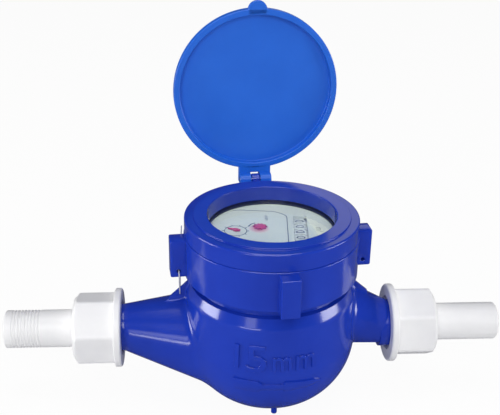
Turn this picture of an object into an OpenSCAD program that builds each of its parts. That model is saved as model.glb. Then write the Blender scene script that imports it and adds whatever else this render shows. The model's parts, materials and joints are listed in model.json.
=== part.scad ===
// Multi-jet vane-wheel water meter for a 15 mm pipe, with its couplings and an open lid.
// Millimetres. +X is the flow, +Z is up, and the origin is the inlet's end on the pipe axis.

/* [Body] */
// Body length from the register axis to the inlet face
inlet_len = 91; // [86:0.5:100]
// Body length from the register axis to the outlet face
outlet_len = 74; // [72:0.5:84]
// Largest radius of the bowl
bowl_r = 48.2; // [47.6:0.1:52]
// Depth of the base below the pipe axis
base_drop = 40; // [38:0.5:46]
// Radius of the flat middle of the base
base_flat_r = 15; // [10:0.5:18]
// Radius of the arc between the base and the belly
heel_r = 28.5; // [26:0.5:30]
// Angle at which the heel arc meets the belly arc
heel_angle = 41; // [38:0.5:44]
// Wall of the bowl
bowl_wall = 4; // [3:0.1:5]
// Radius of the shoulder's edge
shoulder_r = 46.6; // [45.8:0.1:47.4]
// Height of the shoulder's edge
shoulder_z = 24.5; // [22:0.5:26]
// Radius at which the shoulder meets the neck
neck_root_r = 44.2; // [43:0.1:45.2]
// Height at which the shoulder meets the neck
neck_root_z = 30.5; // [28.5:0.5:32]
// Outer radius of the threaded neck
neck_r = 41.8; // [41:0.1:42.4]
// Inner radius of the neck
neck_bore_r = 37.6; // [37.4:0.1:38.4]
// Height of the neck's top face
neck_top = 56; // [55:0.5:58]
// Radius of each foot
foot_r = 1.65; // [1.4:0.05:2.5]
// Distance of the feet from the axis
foot_ring_r = 24.5; // [22:0.5:27]
// Height of the base above the floor
foot_drop = 2.8; // [2:0.1:5]
// Thickness of the gusset webs
gusset_t = 2.5; // [2:0.1:4]

/* [Spouts] */
// Radius of the inlet spout beside its nut
inlet_root_r = 12.5; // [12:0.1:12.8]
// Fall of the inlet spout towards the bowl
inlet_fall = 7.5; // [5:0.5:9]
// Half angle of the inlet spout's cone
inlet_flare = 16.4; // [15:0.2:17]
// Radius of the outlet spout beside its nut
outlet_root_r = 12.2; // [11.5:0.1:12.8]
// Rise of the outlet spout towards the bowl
outlet_rise = 17.8; // [15:0.2:20]
// Half angle of the outlet spout's cone
outlet_flare = 9.6; // [8:0.2:11]
// Bore of the water way
bore_r = 7.5; // [6.5:0.1:8]
// Outer radius of the thread on both ends
thread_r = 13.22; // [13:0.01:13.4]
// Length of the thread on both ends
thread_len = 10; // [9:0.5:10.4]

/* [Couplings] */
// Length of a union nut
nut_len = 29.3; // [28:0.1:34]
// Length of a union nut over the body
nut_grip = 8.6; // [8:0.1:9.2]
// Width across the flats of a union nut
nut_flats = 35.6; // [35:0.1:38]
// Radius of the turned corners of a union nut
nut_corner_r = 20.1; // [18.8:0.1:20.2]
// Radius of a union nut's flange
nut_flange_r = 22; // [20.5:0.05:24]
// Thickness of a union nut's flange
nut_flange_t = 4; // [3:0.1:6]
// Turn of the inlet nut about the pipe
inlet_nut_turn = 16; // [0:1:60]
// Turn of the outlet nut about the pipe
outlet_nut_turn = 52.8; // [0:0.1:60]
// Outer radius of a tailpiece
tail_r = 10.48; // [10.2:0.01:10.6]
// Length of a tailpiece beyond its nut
tail_show = 35.3; // [30:0.1:50]
// Outer radius of a tailpiece's collar
collar_r = 12.9; // [12.4:0.05:12.9]
// Length of a tailpiece's collar
collar_len = 10; // [6:0.5:12]
// Thickness of a coupling washer
washer_t = 3; // [2:0.1:4]

/* [Cap and cover] */
// Turn of the cap, its lugs and the hinge from square to the pipe
cover_turn = 6; // [0:0.5:12]
// Outer radius of the cap nut
cap_r = 47.6; // [46:0.1:48.2]
// Height of the cap nut's lower edge
cap_z = 36.3; // [35:0.1:38]
// Height of the joint between the cap nut and the cover ring
cap_joint_z = 59; // [58:0.2:60.5]
// Radius of the opening over the dial
opening_r = 34.5; // [33.8:0.1:36]
// Thickness of the cap's lip over the glass
cap_lip_t = 4; // [3:0.1:5]
// Distance of the lugs' outer faces from the axis
lug_reach = 55.4; // [53:0.1:58]
// Width of a lug
lug_w = 10; // [8:0.2:13]
// Height of a lug's lower end
lug_z = 37; // [36.6:0.1:42]
// Outer radius of the cover ring
ring_r = 47.2; // [46:0.1:47.6]
// Thickness of the cover ring's top
ring_top_t = 3.1; // [2.5:0.1:4.5]
// Radius of the raised step on the cover ring
step_r = 42.4; // [40:0.1:43.4]
// Height of the raised step
step_h = 1; // [0.6:0.1:1.4]

/* [Lid] */
// Angle at which the lid stands open
lid_open = 90; // [80:1:100]
// Outer radius of the lid
lid_r = 46.9; // [45.5:0.1:47.4]
// Width of the lid's rim
rim_w = 3.4; // [2.6:0.1:3.4]
// Depth of the lid's recess
rim_h = 3.5; // [2:0.1:5]
// Thickness of the lid's plate
lid_t = 2; // [1.6:0.1:3]
// Width of the pull tab
tab_w = 11; // [8:0.5:18]
// Distance of the hinge axis from the register axis
hinge_d = 53; // [52.6:0.1:54]
// Height of the hinge axis
hinge_z = 67.6; // [67:0.1:68]
// Radius of the hinge knuckles
knuckle_r = 3.2; // [2.8:0.1:3.4]
// Width of the hinge block
hinge_w = 18.5; // [15:0.5:24]
// Width of the hinge lug on the cover ring
hinge_lug_w = 4.6; // [4:0.2:6]
// Radius of the hinge pin
hinge_pin_r = 1.25; // [1:0.05:1.5]

/* [Window and dial] */
// Thickness of the glass
glass_t = 4.4; // [3.5:0.1:5]
// Thickness of the glass gasket
gasket_t = 1.5; // [1.3:0.1:2.2]
// Inner radius of the glass gasket
gasket_bore_r = 33.6; // [33:0.1:34.4]
// Thickness of the dial plate
dial_t = 1.5; // [1.2:0.1:2]
// Turn of the register from square to the pipe
register_turn = -3.7; // [-8:0.1:8]
// Height of a counter window along the wheel's turn
window_h = 7.6; // [6:0.1:9]
// Width of a counter window
window_w = 5.2; // [4:0.1:5.4]

/* [Counter] */
// Distance of the counter's axis from the register axis
counter_x = 16.1; // [15.5:0.1:16.6]
// Middle of the row of number wheels
counter_y = 4; // [3:0.1:4.4]
// Radius of a number wheel
wheel_r = 9; // [8.6:0.1:9.1]
// Distance between number wheels
wheel_pitch = 6.7; // [6.5:0.1:6.8]
// Width of a number wheel's rim
wheel_rim_w = 4.9; // [4.5:0.1:5]
// Width of a number wheel's gear
wheel_gear_w = 1.3; // [1:0.1:1.4]
// Radius of the counter axle
counter_axle_r = 1.2; // [1:0.05:1.5]
// Radius of the carry axle
carry_axle_r = 0.8; // [0.6:0.05:1]

/* [Gear train] */
// Tooth size of the impeller stage
impeller_module = 0.5; // [0.49:0.002:0.51]
// Tooth size of the pointer stage
pointer_module = 0.316; // [0.312:0.001:0.32]
// Tooth size of the reduction stage
reduction_module = 0.331; // [0.328:0.001:0.334]
// Tooth size of the worm arbor's wheel
worm_wheel_module = 0.418; // [0.414:0.001:0.42]
// Tooth size of the counter's gears and worm
counter_module = 0.8; // [0.79:0.005:0.81]
// Radius of the arbors
arbor_r = 0.8; // [0.7:0.05:0.9]
// Play of the meshing teeth
backlash = 0.08; // [0.06:0.01:0.12]

/* [Measuring chamber] */
// Outer radius of the measuring chamber
chamber_r = 30; // [29:0.1:31]
// Wall of the measuring chamber
chamber_wall = 2; // [1.6:0.1:2.4]
// Depth of the measuring chamber's floor below the pipe axis
chamber_drop = 28; // [27:0.5:29]
// Height of the measuring chamber's upper edge
chamber_top = 15; // [14:0.5:16]
// Number of jets in each row
jet_count = 10; // [6:1:12]
// Number of vanes on the impeller
vane_count = 7; // [5:1:9]
// Radius of the impeller over its vanes
impeller_r = 25.5; // [24:0.1:26]
// Radius of the impeller's shaft
shaft_r = 1.5; // [1.2:0.1:1.6]
// Radius of the impeller's pivot pin
pivot_r = 1; // [0.8:0.05:1.1]

/* [Fits] */
// Radial clearance of a running fit
run_clear = 0.05; // [0.03:0.01:0.08]
// Clearance between pieces that move past each other
free_clear = 0.3; // [0.3:0.05:0.4]
// Radial clearance of a thread
thread_clear = 0.08; // [0.05:0.01:0.1]
// Clearance of a seated piece in its pocket
seat_clear = 0.2; // [0.1:0.05:0.3]

/* [Hidden] */
$fn = 96;
eps = 0.01;
blue = [0.09, 0.2, 0.66];
lid_blue = [0.12, 0.36, 0.78];
white = [0.9, 0.9, 0.91];
black = [0.05, 0.05, 0.06];
steel = [0.72, 0.73, 0.75];
red = [0.8, 0.12, 0.2];
cream = [0.86, 0.86, 0.82];
clear = [0.8, 0.9, 0.95, 0.35];

// Couplings, measured outward from a body face
collar_end = washer_t + collar_len;
nut_out = nut_len - nut_grip;
nut_shelf = collar_end + free_clear;
tail_end = nut_out + tail_show;
axis_x = inlet_len + tail_end;
washer_bore_r = bore_r + 0.5;
nut_mouth_r = thread_r + 2;
nut_mouth_len = 2.4;
tail_relief = 0.2;

// Bowl arcs, as radius and height
heel_c = [base_flat_r, heel_r - base_drop];
heel_p = heel_c + heel_r * [sin(heel_angle), -cos(heel_angle)];
belly_r = (bowl_r - heel_p[0]) / (1 - sin(heel_angle));
belly_c = heel_p + belly_r * [-sin(heel_angle), cos(heel_angle)];
edge_round = 1.6;

// Ledge that parts the lower chamber from the upper one
ledge_top = -1;
ledge_t = 3;
ledge_r = chamber_r + 3;
flange_t = 3;
flange_r = neck_bore_r - 0.8;

// Stack over the neck
glass_z = neck_top + gasket_t;
lip_z = glass_z + glass_t;
cap_top = lip_z + cap_lip_t;
ring_z = cap_top + ring_top_t;
glass_r = neck_r - 0.6;
cap_bore_r = neck_r + thread_clear;
cap_collar_r = step_r;
lug_top = cap_joint_z - 0.6;
lid_z = ring_z + free_clear;

// Register stack
dial_z = neck_top - dial_t;
case_r = neck_bore_r - 0.4;
case_wall = 2;
case_floor_t = 2.5;
case_z = dial_z - 27.5;
case_in = case_z + case_floor_t;
skirt_r = chamber_r - 3;
skirt_t = 2;
pivot_depth = 1.4;
cover_t = 2.5;
cover_top = chamber_top + cover_t;

// Number wheel row, from the units wheel in front
wheel_count = 5;
row_start = counter_y - wheel_pitch * (wheel_count - 1) / 2 - wheel_rim_w / 2;
row_end = row_start + wheel_pitch * (wheel_count - 1) + wheel_rim_w;
cheek_t = 1.2;

// Inlet strainer
strainer_rim_r = 9.6;
strainer_rim_t = 1.5;
strainer_len = 12;

// Gear train: tooth counts and places in the register's own frame
pinion_teeth = 8;
reduction_teeth = 80;
impeller_teeth = 10;
star_teeth = 20;
counter_teeth = 20;
worm_starts = 2;
star_dir = 145.5;
pointer_dir = 197.9;
gear_t = 1.6;
pinion_t = 2.4;
star_at = impeller_module * (impeller_teeth + star_teeth) / 2 * [cos(star_dir), sin(star_dir)];
pointer_at = star_at + pair_gap(pointer_module) * [cos(pointer_dir), sin(pointer_dir)];
worm_r = 2.2;
worm_tip_r = worm_r + 0.6 * counter_module;
units_neck = worm_tip_r + free_clear - wheel_gear_w / 2;
row_front = row_start - units_neck - wheel_gear_w;
worm_at = [counter_x - counter_module * counter_teeth / 2 - worm_r, gear_y(0)];
reduction_at = meet(pointer_at, pair_gap(reduction_module), worm_at, pair_gap(worm_wheel_module));
impeller_gear_z = case_in + 0.6;
worm_wheel_z = impeller_gear_z + 2.8;
pointer_wheel_z = worm_wheel_z + 4.2;
reduction_wheel_z = pointer_wheel_z + 3.2;
counter_z = dial_z - free_clear - wheel_r - 0.1;
worm_len = 8;

// Carry shaft, placed round the counter's axis
carry_teeth = 8;
carry_dir = -30;
carry_gap = counter_module * (counter_teeth + carry_teeth) / 2;
carry_x = counter_x + carry_gap * cos(carry_dir);
carry_z = counter_z + carry_gap * sin(carry_dir);

// Route of the seal wire about the register axis
wire_r = 0.35;
wire_hole_r = 1.1;
wire_lug_at = [51, 40.5];
wire_web_at = [-50, 22];
wire_route = [[-48.6, 1.8, 62], [-48.9, 1.8, 57], [-49.5, 1.7, 50], [-50.2, 1.5, 44.5], [-50.8, 0.6, 41.2],
    [-50.8, -2, 40.6], [-50.7, -5.4, 40.5], [-50.3, -9, 40.5], [-50.1, -11.4, 40.2], [-50, -12.3, 38.4],
    [-50, -11.2, 35], [-50, -8.6, 30.5], [-50, -5.4, 25.6], [-50, -2.8, 22.6], [-50, -0.6, 22],
    [-50, 2.2, 22], [-50, 3.8, 23.6], [-49.9, 4, 28], [-49.8, 3.7, 34], [-49.6, 3.4, 40],
    [-49.3, 3.2, 46], [-49, 3.1, 51]];

// Distance between the shafts of a decade stage
function pair_gap(m) = m * (pinion_teeth + reduction_teeth) / 2;

// Front of the rim of the number wheel with this index
function wheel_y(i) = row_start + wheel_pitch * i;

// Middle of the gear of the number wheel with this index; the units wheel's stands off on a neck
function gear_y(i) = wheel_y(i) - (i == 0 ? units_neck : 0) - wheel_gear_w / 2;

// Point in front of the line a to b that lies ra from a and rb from b
function meet(a, ra, b, rb) =
    let (d = norm(b - a), u = (b - a) / d, s = (d * d + ra * ra - rb * rb) / (2 * d))
    a + u * s + [u[1], -u[0]] * sqrt(ra * ra - s * s);

// Direction in degrees from a to b
function heading(a, b) = atan2(b[1] - a[1], b[0] - a[0]);

// Corner of an outline rounded to a radius: the arc's points between its neighbours
function round_corner(a, b, c, r, steps = 5) =
    let (u = (a - b) / norm(a - b), v = (c - b) / norm(c - b))
    let (half = acos(u * v) / 2, cut = min(r / tan(half), norm(a - b) / 2, norm(c - b) / 2))
    let (rad = cut * tan(half), mid = b + (u + v) / norm(u + v) * rad / sin(half))
    let (s = atan2((b + u * cut - mid)[1], (b + u * cut - mid)[0]))
    let (e = atan2((b + v * cut - mid)[1], (b + v * cut - mid)[0]))
    let (turn = (e - s + 540) % 360 - 180)
    [for (i = [0:steps]) mid + rad * [cos(s + turn * i / steps), sin(s + turn * i / steps)]];

// Outline from [x, y, radius] corners
function rounded(p) =
    let (n = len(p), xy = [for (q = p) [q[0], q[1]]])
    [for (i = [0:n - 1]) let (a = xy[(i + n - 1) % n], b = xy[i], c = xy[(i + 1) % n])
        each p[i][2] > 0 ? round_corner(a, b, c, p[i][2]) : [b]];

// Points of an arc from angle a to angle b, without its last point
function arc(c, r, a, b, steps = 16) =
    [for (i = [0:steps - 1]) let (t = a + (b - a) * i / steps) c + r * [cos(t), sin(t)]];

// Involute of a base circle, as an angle at radius r
function inv(rb, r) = r <= rb ? 0 : sqrt(pow(r / rb, 2) - 1) * 180 / PI - acos(rb / r);

// Half angle of a tooth at radius r
function tooth_half(m, z, r) =
    let (rp = m * z / 2, rb = rp * cos(20))
    90 / z - backlash / 2 / rp * 180 / PI + inv(rb, rp) - inv(rb, r);

// Outline of a gear with a tooth centred on +X
function gear_points(m, z, add) =
    let (rp = m * z / 2, tip = rp + add * m, root = rp - 1.2 * m, base = max(root, rp * cos(20)))
    let (radii = base > root + eps ? [root, base, rp, tip] : [root, rp, tip])
    [for (k = [0:z - 1]) let (mid = 360 * k / z) each concat(
        [for (r = radii) let (h = mid - tooth_half(m, z, r)) r * [cos(h), sin(h)]],
        [for (i = [len(radii) - 1:-1:0])
            let (r = radii[i], h = mid + tooth_half(m, z, r)) r * [cos(h), sin(h)]])];

// Shapes used by several pieces
module at_axis() {
    translate([axis_x, 0, 0]) children();
}

module cover_frame() {
    at_axis() rotate(cover_turn) children();
}

module register_frame() {
    at_axis() rotate(register_turn) children();
}

// Children stand on a body face and grow outward along the pipe
module inlet_end() {
    at_axis() translate([-inlet_len, 0, 0]) mirror([1, 0, 0]) rotate([0, 90, 0]) children();
}

module outlet_end() {
    at_axis() translate([outlet_len, 0, 0]) rotate([0, 90, 0]) children();
}

module turned(points) {
    rotate_extrude() polygon(points);
}

module tube(r_out, r_in, z0, z1) {
    translate([0, 0, z0]) difference() {
        cylinder(r = r_out, h = z1 - z0);
        translate([0, 0, -1]) cylinder(r = r_in, h = z1 - z0 + 2);
    }
}

// Children run along +Y from y0 at a height and distance
module along_y(x, y0, z) {
    translate([x, y0, z]) rotate([-90, 0, 0]) children();
}

module gear(m, z, add, t) {
    linear_extrude(t) polygon(gear_points(m, z, add));
}

module wheel(m, z, t) {
    gear(m, z, 0.5, t);
}

module pinion(m, z, t) {
    gear(m, z, 0.9, t);
}

// Body
module bowl_outline() {
    top = [[bowl_r, belly_c[1], 0], [shoulder_r, shoulder_z, edge_round],
        [neck_root_r, neck_root_z, edge_round], [neck_r, neck_root_z + 0.8, 0.6],
        [neck_r, neck_top, 0.4], [0, neck_top, 0], [0, belly_c[1], 0]];
    heel = arc(heel_c, heel_r, -90, heel_angle - 90);
    belly = arc(belly_c, belly_r, heel_angle - 90, 0);
    shoulder = rounded(top);
    polygon(concat([[0, -base_drop]], heel, belly, [for (i = [0:len(shoulder) - 2]) shoulder[i]]));
}

module bowl_hollow() {
    low_top = ledge_top - ledge_t;
    upper_r = shoulder_r - bowl_wall;
    belly_in = belly_r - bowl_wall;
    last = asin((low_top - belly_c[1]) / belly_in);
    heel = arc(heel_c, heel_r - bowl_wall, -90, heel_angle - 90);
    belly = arc(belly_c, belly_in, heel_angle - 90, last);
    polygon(concat([[0, bowl_wall - base_drop]], heel, belly, [belly_c + belly_in * [cos(last), sin(last)],
        [ledge_r, low_top], [ledge_r, ledge_top], [upper_r, ledge_top], [upper_r, shoulder_z - bowl_wall],
        [neck_bore_r, neck_root_z - bowl_wall / 2], [neck_bore_r, neck_top + 1], [0, neck_top + 1]]));
}

module inlet_spout() {
    reach = inlet_len - thread_len + 2 - belly_r / 1.4;
    translate([-inlet_len + thread_len - 2, 0, 0.8]) rotate([0, 90 + inlet_fall, 0])
        cylinder(r1 = inlet_root_r, r2 = inlet_root_r + reach * tan(inlet_flare), h = reach);
}

module outlet_spout() {
    reach = outlet_len - thread_len;
    translate([outlet_len - thread_len + 2, 0, 0.3]) rotate([0, -90 + outlet_rise, 0])
        cylinder(r1 = outlet_root_r, r2 = outlet_root_r + reach * tan(outlet_flare), h = reach);
}

// Web in the plane of the pipe between the neck's foot and a spout
module gusset(side, foot_x, foot_z) {
    rotate([90, 0, 0]) linear_extrude(gusset_t, center = true)
        polygon([[side * (neck_r - 1), neck_root_z], [side * neck_root_r, neck_root_z],
            [side * foot_x, foot_z], [side * foot_x, 0], [side * (neck_r - 1), 0]]);
}

module water_way(from, to) {
    run = norm(to - from);
    translate([from[0], 0, from[1]])
        rotate([0, 90 - atan2(to[1] - from[1], to[0] - from[0]), 0]) cylinder(r = bore_r, h = run);
}

module feet() {
    for (a = [-85.5, 34.5, 154.5])
        rotate(a) translate([foot_ring_r, 0, -base_drop - foot_drop])
            cylinder(r = foot_r, h = foot_drop + bowl_wall);
}

module body() {
    color(blue) difference() {
        union() {
            at_axis() rotate_extrude() bowl_outline();
            at_axis() inlet_spout();
            at_axis() outlet_spout();
            at_axis() gusset(-1, 58.5, 16.6);
            at_axis() gusset(1, 54.8, 21.4);
            at_axis() feet();
            inlet_end() translate([0, 0, -thread_len - 2]) cylinder(r = thread_r, h = thread_len + 2);
            outlet_end() translate([0, 0, -thread_len - 2]) cylinder(r = thread_r, h = thread_len + 2);
        }
        at_axis() rotate_extrude() bowl_hollow();
        at_axis() water_way([-inlet_len - 1, 0], [-inlet_len + 16, 0]);
        at_axis() water_way([-inlet_len + 14, 0], [-chamber_r - 6, -17]);
        at_axis() water_way([outlet_len + 1, 0], [outlet_len - 12, 0]);
        at_axis() water_way([outlet_len - 10, 0], [chamber_r + 6, 12]);
        inlet_end() translate([0, 0, -strainer_rim_t])
            cylinder(r = strainer_rim_r + seat_clear, h = strainer_rim_t + 1);
        at_axis() translate([wire_web_at[0], -gusset_t, wire_web_at[1]]) rotate([-90, 0, 0])
            cylinder(r = wire_hole_r, h = 2 * gusset_t);
    }
}

// Cap nut with four wrench lugs
module lug() {
    translate([0, -lug_w / 2, lug_z]) cube([lug_reach, lug_w, lug_top - lug_z]);
}

module cap_nut() {
    color(blue) cover_frame() difference() {
        union() {
            turned(rounded([[0, cap_z, 0], [cap_r, cap_z, 0.8], [cap_r, cap_joint_z, 0.5],
                [cap_collar_r, cap_joint_z, 0], [cap_collar_r, cap_top, 0], [0, cap_top, 0]]));
            for (k = [0:3]) rotate(90 * k) lug();
        }
        turned([[0, cap_z - 1], [cap_bore_r, cap_z - 1], [cap_bore_r, lip_z], [opening_r, lip_z],
            [opening_r + 0.3, cap_top + 1], [0, cap_top + 1]]);
        rotate(180) translate([wire_lug_at[0], lug_w, wire_lug_at[1]]) rotate([90, 0, 0])
            cylinder(r = wire_hole_r, h = 2 * lug_w);
    }
}

// Cover ring with the hinge lug at the back
module cover_ring() {
    step_z = ring_z + step_h;
    color(blue) cover_frame() difference() {
        union() {
            difference() {
                turned(rounded([[0, cap_joint_z, 0], [ring_r, cap_joint_z, 0.4], [ring_r, ring_z, 1],
                    [step_r, ring_z, 0.2], [step_r, step_z, 0.3], [0, step_z, 0]]));
                turned([[0, cap_joint_z - 1], [cap_collar_r + seat_clear, cap_joint_z - 1],
                    [cap_collar_r + seat_clear, cap_top], [opening_r + 0.4, cap_top],
                    [opening_r + 0.6, step_z + 1], [0, step_z + 1]]);
            }
            translate([-hinge_lug_w / 2, 0, hinge_z]) rotate([0, 90, 0]) translate([0, hinge_d, 0])
                cylinder(r = knuckle_r, h = hinge_lug_w);
            translate([-hinge_lug_w / 2, ring_r - 1, hinge_z - knuckle_r])
                cube([hinge_lug_w, hinge_d - ring_r + 1, ring_z - hinge_z + knuckle_r - 1]);
        }
        translate([-hinge_w, hinge_d, hinge_z]) rotate([0, 90, 0])
            cylinder(r = hinge_pin_r + run_clear, h = 2 * hinge_w);
    }
}

// Lid, drawn closed and then swung open about its hinge
module lid_frame() {
    cover_frame() translate([0, hinge_d, hinge_z]) rotate([-lid_open, 0, 0])
        translate([0, -hinge_d, -hinge_z]) children();
}

module hinge_knuckle() {
    w = (hinge_w - hinge_lug_w) / 2 - free_clear;
    heel = knuckle_r + 1.4;
    translate([0, hinge_d, hinge_z]) rotate([0, 90, 0]) cylinder(r = knuckle_r, h = w);
    root_y = lid_r - rim_w / 2;
    translate([0, root_y, lid_z]) cube([w, hinge_d - root_y + knuckle_r, rim_h + lid_t - 0.6]);
    translate([0, hinge_d - knuckle_r + eps, hinge_z]) cube([w, 2 * knuckle_r - eps, lid_z - hinge_z + 1]);
    stop = hinge_d - ring_r - free_clear;
    translate([0, hinge_d, hinge_z - stop]) cube([w, heel, stop]);
}

// Web of the lid between its knuckles, clear of the cover ring's hinge lug
module hinge_web() {
    root_y = lid_r - rim_w / 2;
    w = hinge_lug_w + 4 * free_clear;
    translate([-w / 2, root_y, lid_z])
        cube([w, hinge_d - knuckle_r - free_clear - root_y, rim_h + lid_t - 0.6]);
}

module lid() {
    knuckle_x = hinge_lug_w / 2 + free_clear;
    color(lid_blue) lid_frame() difference() {
        union() {
            turned(rounded([[0, lid_z + rim_h, 0], [lid_r - rim_w, lid_z + rim_h, 0.5],
                [lid_r - rim_w, lid_z, 0.5], [lid_r, lid_z, 0.5],
                [lid_r, lid_z + rim_h + lid_t, 1.4], [0, lid_z + rim_h + lid_t, 0]]));
            translate([0, -lid_r + 1, lid_z]) cylinder(d = tab_w, h = 2.4);
            translate([knuckle_x, 0, 0]) hinge_knuckle();
            mirror([1, 0, 0]) translate([knuckle_x, 0, 0]) hinge_knuckle();
            hinge_web();
        }
        translate([0, 0, lid_z - 1]) cylinder(r = lid_r - rim_w, h = rim_h + 1);
        translate([-hinge_w, hinge_d, hinge_z]) rotate([0, 90, 0]) cylinder(r = hinge_pin_r, h = 2 * hinge_w);
    }
}

module hinge_pin() {
    color(steel) lid_frame() translate([-hinge_w / 2, hinge_d, hinge_z]) rotate([0, 90, 0])
        cylinder(r = hinge_pin_r, h = hinge_w);
}

// Seal wire, an eight-sided tube along its route
function wire_dir(i) =
    let (a = wire_route[max(i - 1, 0)], b = wire_route[min(i + 1, len(wire_route) - 1)])
    (b - a) / norm(b - a);

function wire_ring(i, sides) =
    let (d = wire_dir(i), u = cross(d, [1, 0.01, 0.02]), n = u / norm(u), b = cross(d, n))
    [for (k = [0:sides - 1]) wire_route[i] + wire_r * (n * cos(360 * k / sides) + b * sin(360 * k / sides))];

module seal_wire() {
    sides = 8;
    rings = len(wire_route);
    points = [for (i = [0:rings - 1]) each wire_ring(i, sides)];
    skin = [for (i = [0:rings - 2]) for (k = [0:sides - 1]) let (n = (k + 1) % sides)
        [i * sides + k, i * sides + n, (i + 1) * sides + n, (i + 1) * sides + k]];
    start_cap = [for (k = [sides - 1:-1:0]) k];
    end_cap = [for (k = [0:sides - 1]) (rings - 1) * sides + k];
    color(steel) at_axis() polyhedron(points, concat(skin, [start_cap, end_cap]));
}

// Window
module glass() {
    color(clear) at_axis() turned(rounded([[0, glass_z, 0], [glass_r, glass_z, 0.4], [glass_r, lip_z, 0.4],
        [0, lip_z, 0]]));
}

module glass_gasket() {
    color(black) at_axis() tube(glass_r, gasket_bore_r, neck_top, glass_z);
}

// Dial plate with a window over each number wheel
module dial_plate() {
    color(cream) register_frame() difference() {
        translate([0, 0, dial_z]) cylinder(r = case_r, h = dial_t);
        for (i = [0:wheel_count - 1])
            translate([counter_x - window_h / 2, wheel_y(i) + (wheel_rim_w - window_w) / 2, dial_z - 1])
                cube([window_h, window_w, dial_t + 2]);
        for (p = [star_at, pointer_at])
            translate([p[0], p[1], dial_z - 1]) cylinder(r = arbor_r + run_clear, h = dial_t + 2, $fn = 32);
        translate([reduction_at[0], reduction_at[1], dial_z - 1])
            cylinder(r = arbor_r + run_clear, h = 1 + dial_t / 2, $fn = 32);
    }
}

// Case under the dial that carries the gear train
module register_case() {
    color(white) register_frame() difference() {
        union() {
            translate([0, 0, case_z]) difference() {
                cylinder(r = case_r, h = dial_z - case_z);
                translate([0, 0, case_floor_t]) cylinder(r = case_r - case_wall, h = dial_z);
            }
            tube(skirt_r, skirt_r - skirt_t, cover_top, case_z + eps);
        }
        translate([0, 0, case_z - 1]) cylinder(r = shaft_r + free_clear, h = case_floor_t + 2, $fn = 48);
        for (p = [star_at, pointer_at, reduction_at, worm_at])
            translate([p[0], p[1], case_in - pivot_depth])
                cylinder(r = arbor_r + run_clear, h = pivot_depth + 1, $fn = 32);
    }
}

// Bridge under the dial with two cheeks for the counter's axles
module bridge_cheek(y) {
    bar_x = worm_at[0] - 1.6;
    plate_x = worm_at[0] + worm_tip_r + 2 * free_clear;
    worm_top = counter_z + worm_len / 2 + 2 * free_clear;
    difference() {
        union() {
            translate([bar_x, y, worm_top]) cube([counter_x - bar_x + 2.5, cheek_t, dial_z - worm_top]);
            translate([plate_x, y, counter_z - 2.5])
                cube([counter_x - plate_x + 2.5, cheek_t, dial_z - counter_z]);
            translate([counter_x, y, carry_z - 1.6]) cube([carry_x - counter_x + 1.3, cheek_t, 4.6]);
            translate([counter_x, y, counter_z - 4]) cube([2.5, cheek_t, 4]);
        }
        along_y(counter_x, y - 1, counter_z) cylinder(r = counter_axle_r, h = cheek_t + 2, $fn = 32);
        along_y(carry_x, y - 1, carry_z) cylinder(r = carry_axle_r, h = cheek_t + 2, $fn = 32);
    }
}

module counter_bridge() {
    front = row_front - free_clear - cheek_t;
    back = row_end + free_clear;
    bar_w = 3.2;
    color(white) register_frame() difference() {
        union() {
            bridge_cheek(front);
            bridge_cheek(back);
            translate([worm_at[0] - bar_w / 2, front, dial_z - 2]) cube([bar_w, back - front + cheek_t, 2]);
        }
        translate([worm_at[0], worm_at[1], dial_z - 3]) cylinder(r = arbor_r + run_clear, h = 2, $fn = 32);
    }
}

module counter_axle() {
    front = row_front - free_clear - cheek_t;
    color(steel) register_frame() along_y(counter_x, front, counter_z)
        cylinder(r = counter_axle_r, h = row_end + free_clear + cheek_t - front, $fn = 32);
}

module carry_axle() {
    front = row_front - free_clear - cheek_t;
    color(steel) register_frame() along_y(carry_x, front, carry_z)
        cylinder(r = carry_axle_r, h = row_end + free_clear + cheek_t - front, $fn = 32);
}

// Number wheel with its gear in front, counted from the units wheel
module number_wheel(i) {
    hub_r = counter_axle_r + 1.2;
    web_in = 1.2;
    turn = i == 0 ? 180 + 180 / counter_teeth : -carry_dir;
    neck = i == 0 ? units_neck : 0;
    color(white) register_frame() along_y(counter_x, wheel_y(i), counter_z) difference() {
        union() {
            cylinder(r = wheel_r, h = wheel_rim_w);
            translate([0, 0, -neck - wheel_gear_w]) rotate(turn)
                wheel(counter_module, counter_teeth, wheel_gear_w + eps);
            translate([0, 0, -neck]) cylinder(r = 2 * hub_r, h = neck + eps);
        }
        translate([0, 0, web_in]) difference() {
            cylinder(r = wheel_r - 1.4, h = wheel_rim_w);
            translate([0, 0, -1]) cylinder(r = hub_r, h = wheel_rim_w + 2);
        }
        translate([0, 0, -neck - wheel_gear_w - 1])
            cylinder(r = counter_axle_r + run_clear, h = neck + wheel_gear_w + wheel_rim_w + 2, $fn = 32);
    }
}

// Carry pinion between a number wheel and the one in front of it
module carry_pinion(i) {
    color(white) register_frame() along_y(carry_x, wheel_y(i) - wheel_gear_w, carry_z) difference() {
        rotate(180 - carry_dir + 180 / carry_teeth) pinion(counter_module, carry_teeth, wheel_gear_w);
        translate([0, 0, -1]) cylinder(r = carry_axle_r + run_clear, h = wheel_gear_w + 2, $fn = 32);
    }
}

// Arbor with its pivots, from the case floor up
module arbor(p, top) {
    translate([p[0], p[1], case_in - pivot_depth + free_clear])
        cylinder(r = arbor_r, h = top - case_in + pivot_depth - free_clear, $fn = 32);
}

module place(p, z, turn) {
    translate([p[0], p[1], z]) rotate(turn) children();
}

// Turn of a driven wheel so that a gap faces the driver's tooth
function driven_turn(from, to, teeth) = heading(from, to) + 180 + 180 / teeth;

module star_arbor() {
    color(cream) register_frame() {
        arbor(star_at, neck_top + 0.4);
        place(star_at, impeller_gear_z, driven_turn([0, 0], star_at, star_teeth))
            wheel(impeller_module, star_teeth, gear_t);
        place(star_at, pointer_wheel_z - 0.4, pointer_dir) pinion(pointer_module, pinion_teeth, pinion_t);
    }
}

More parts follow.
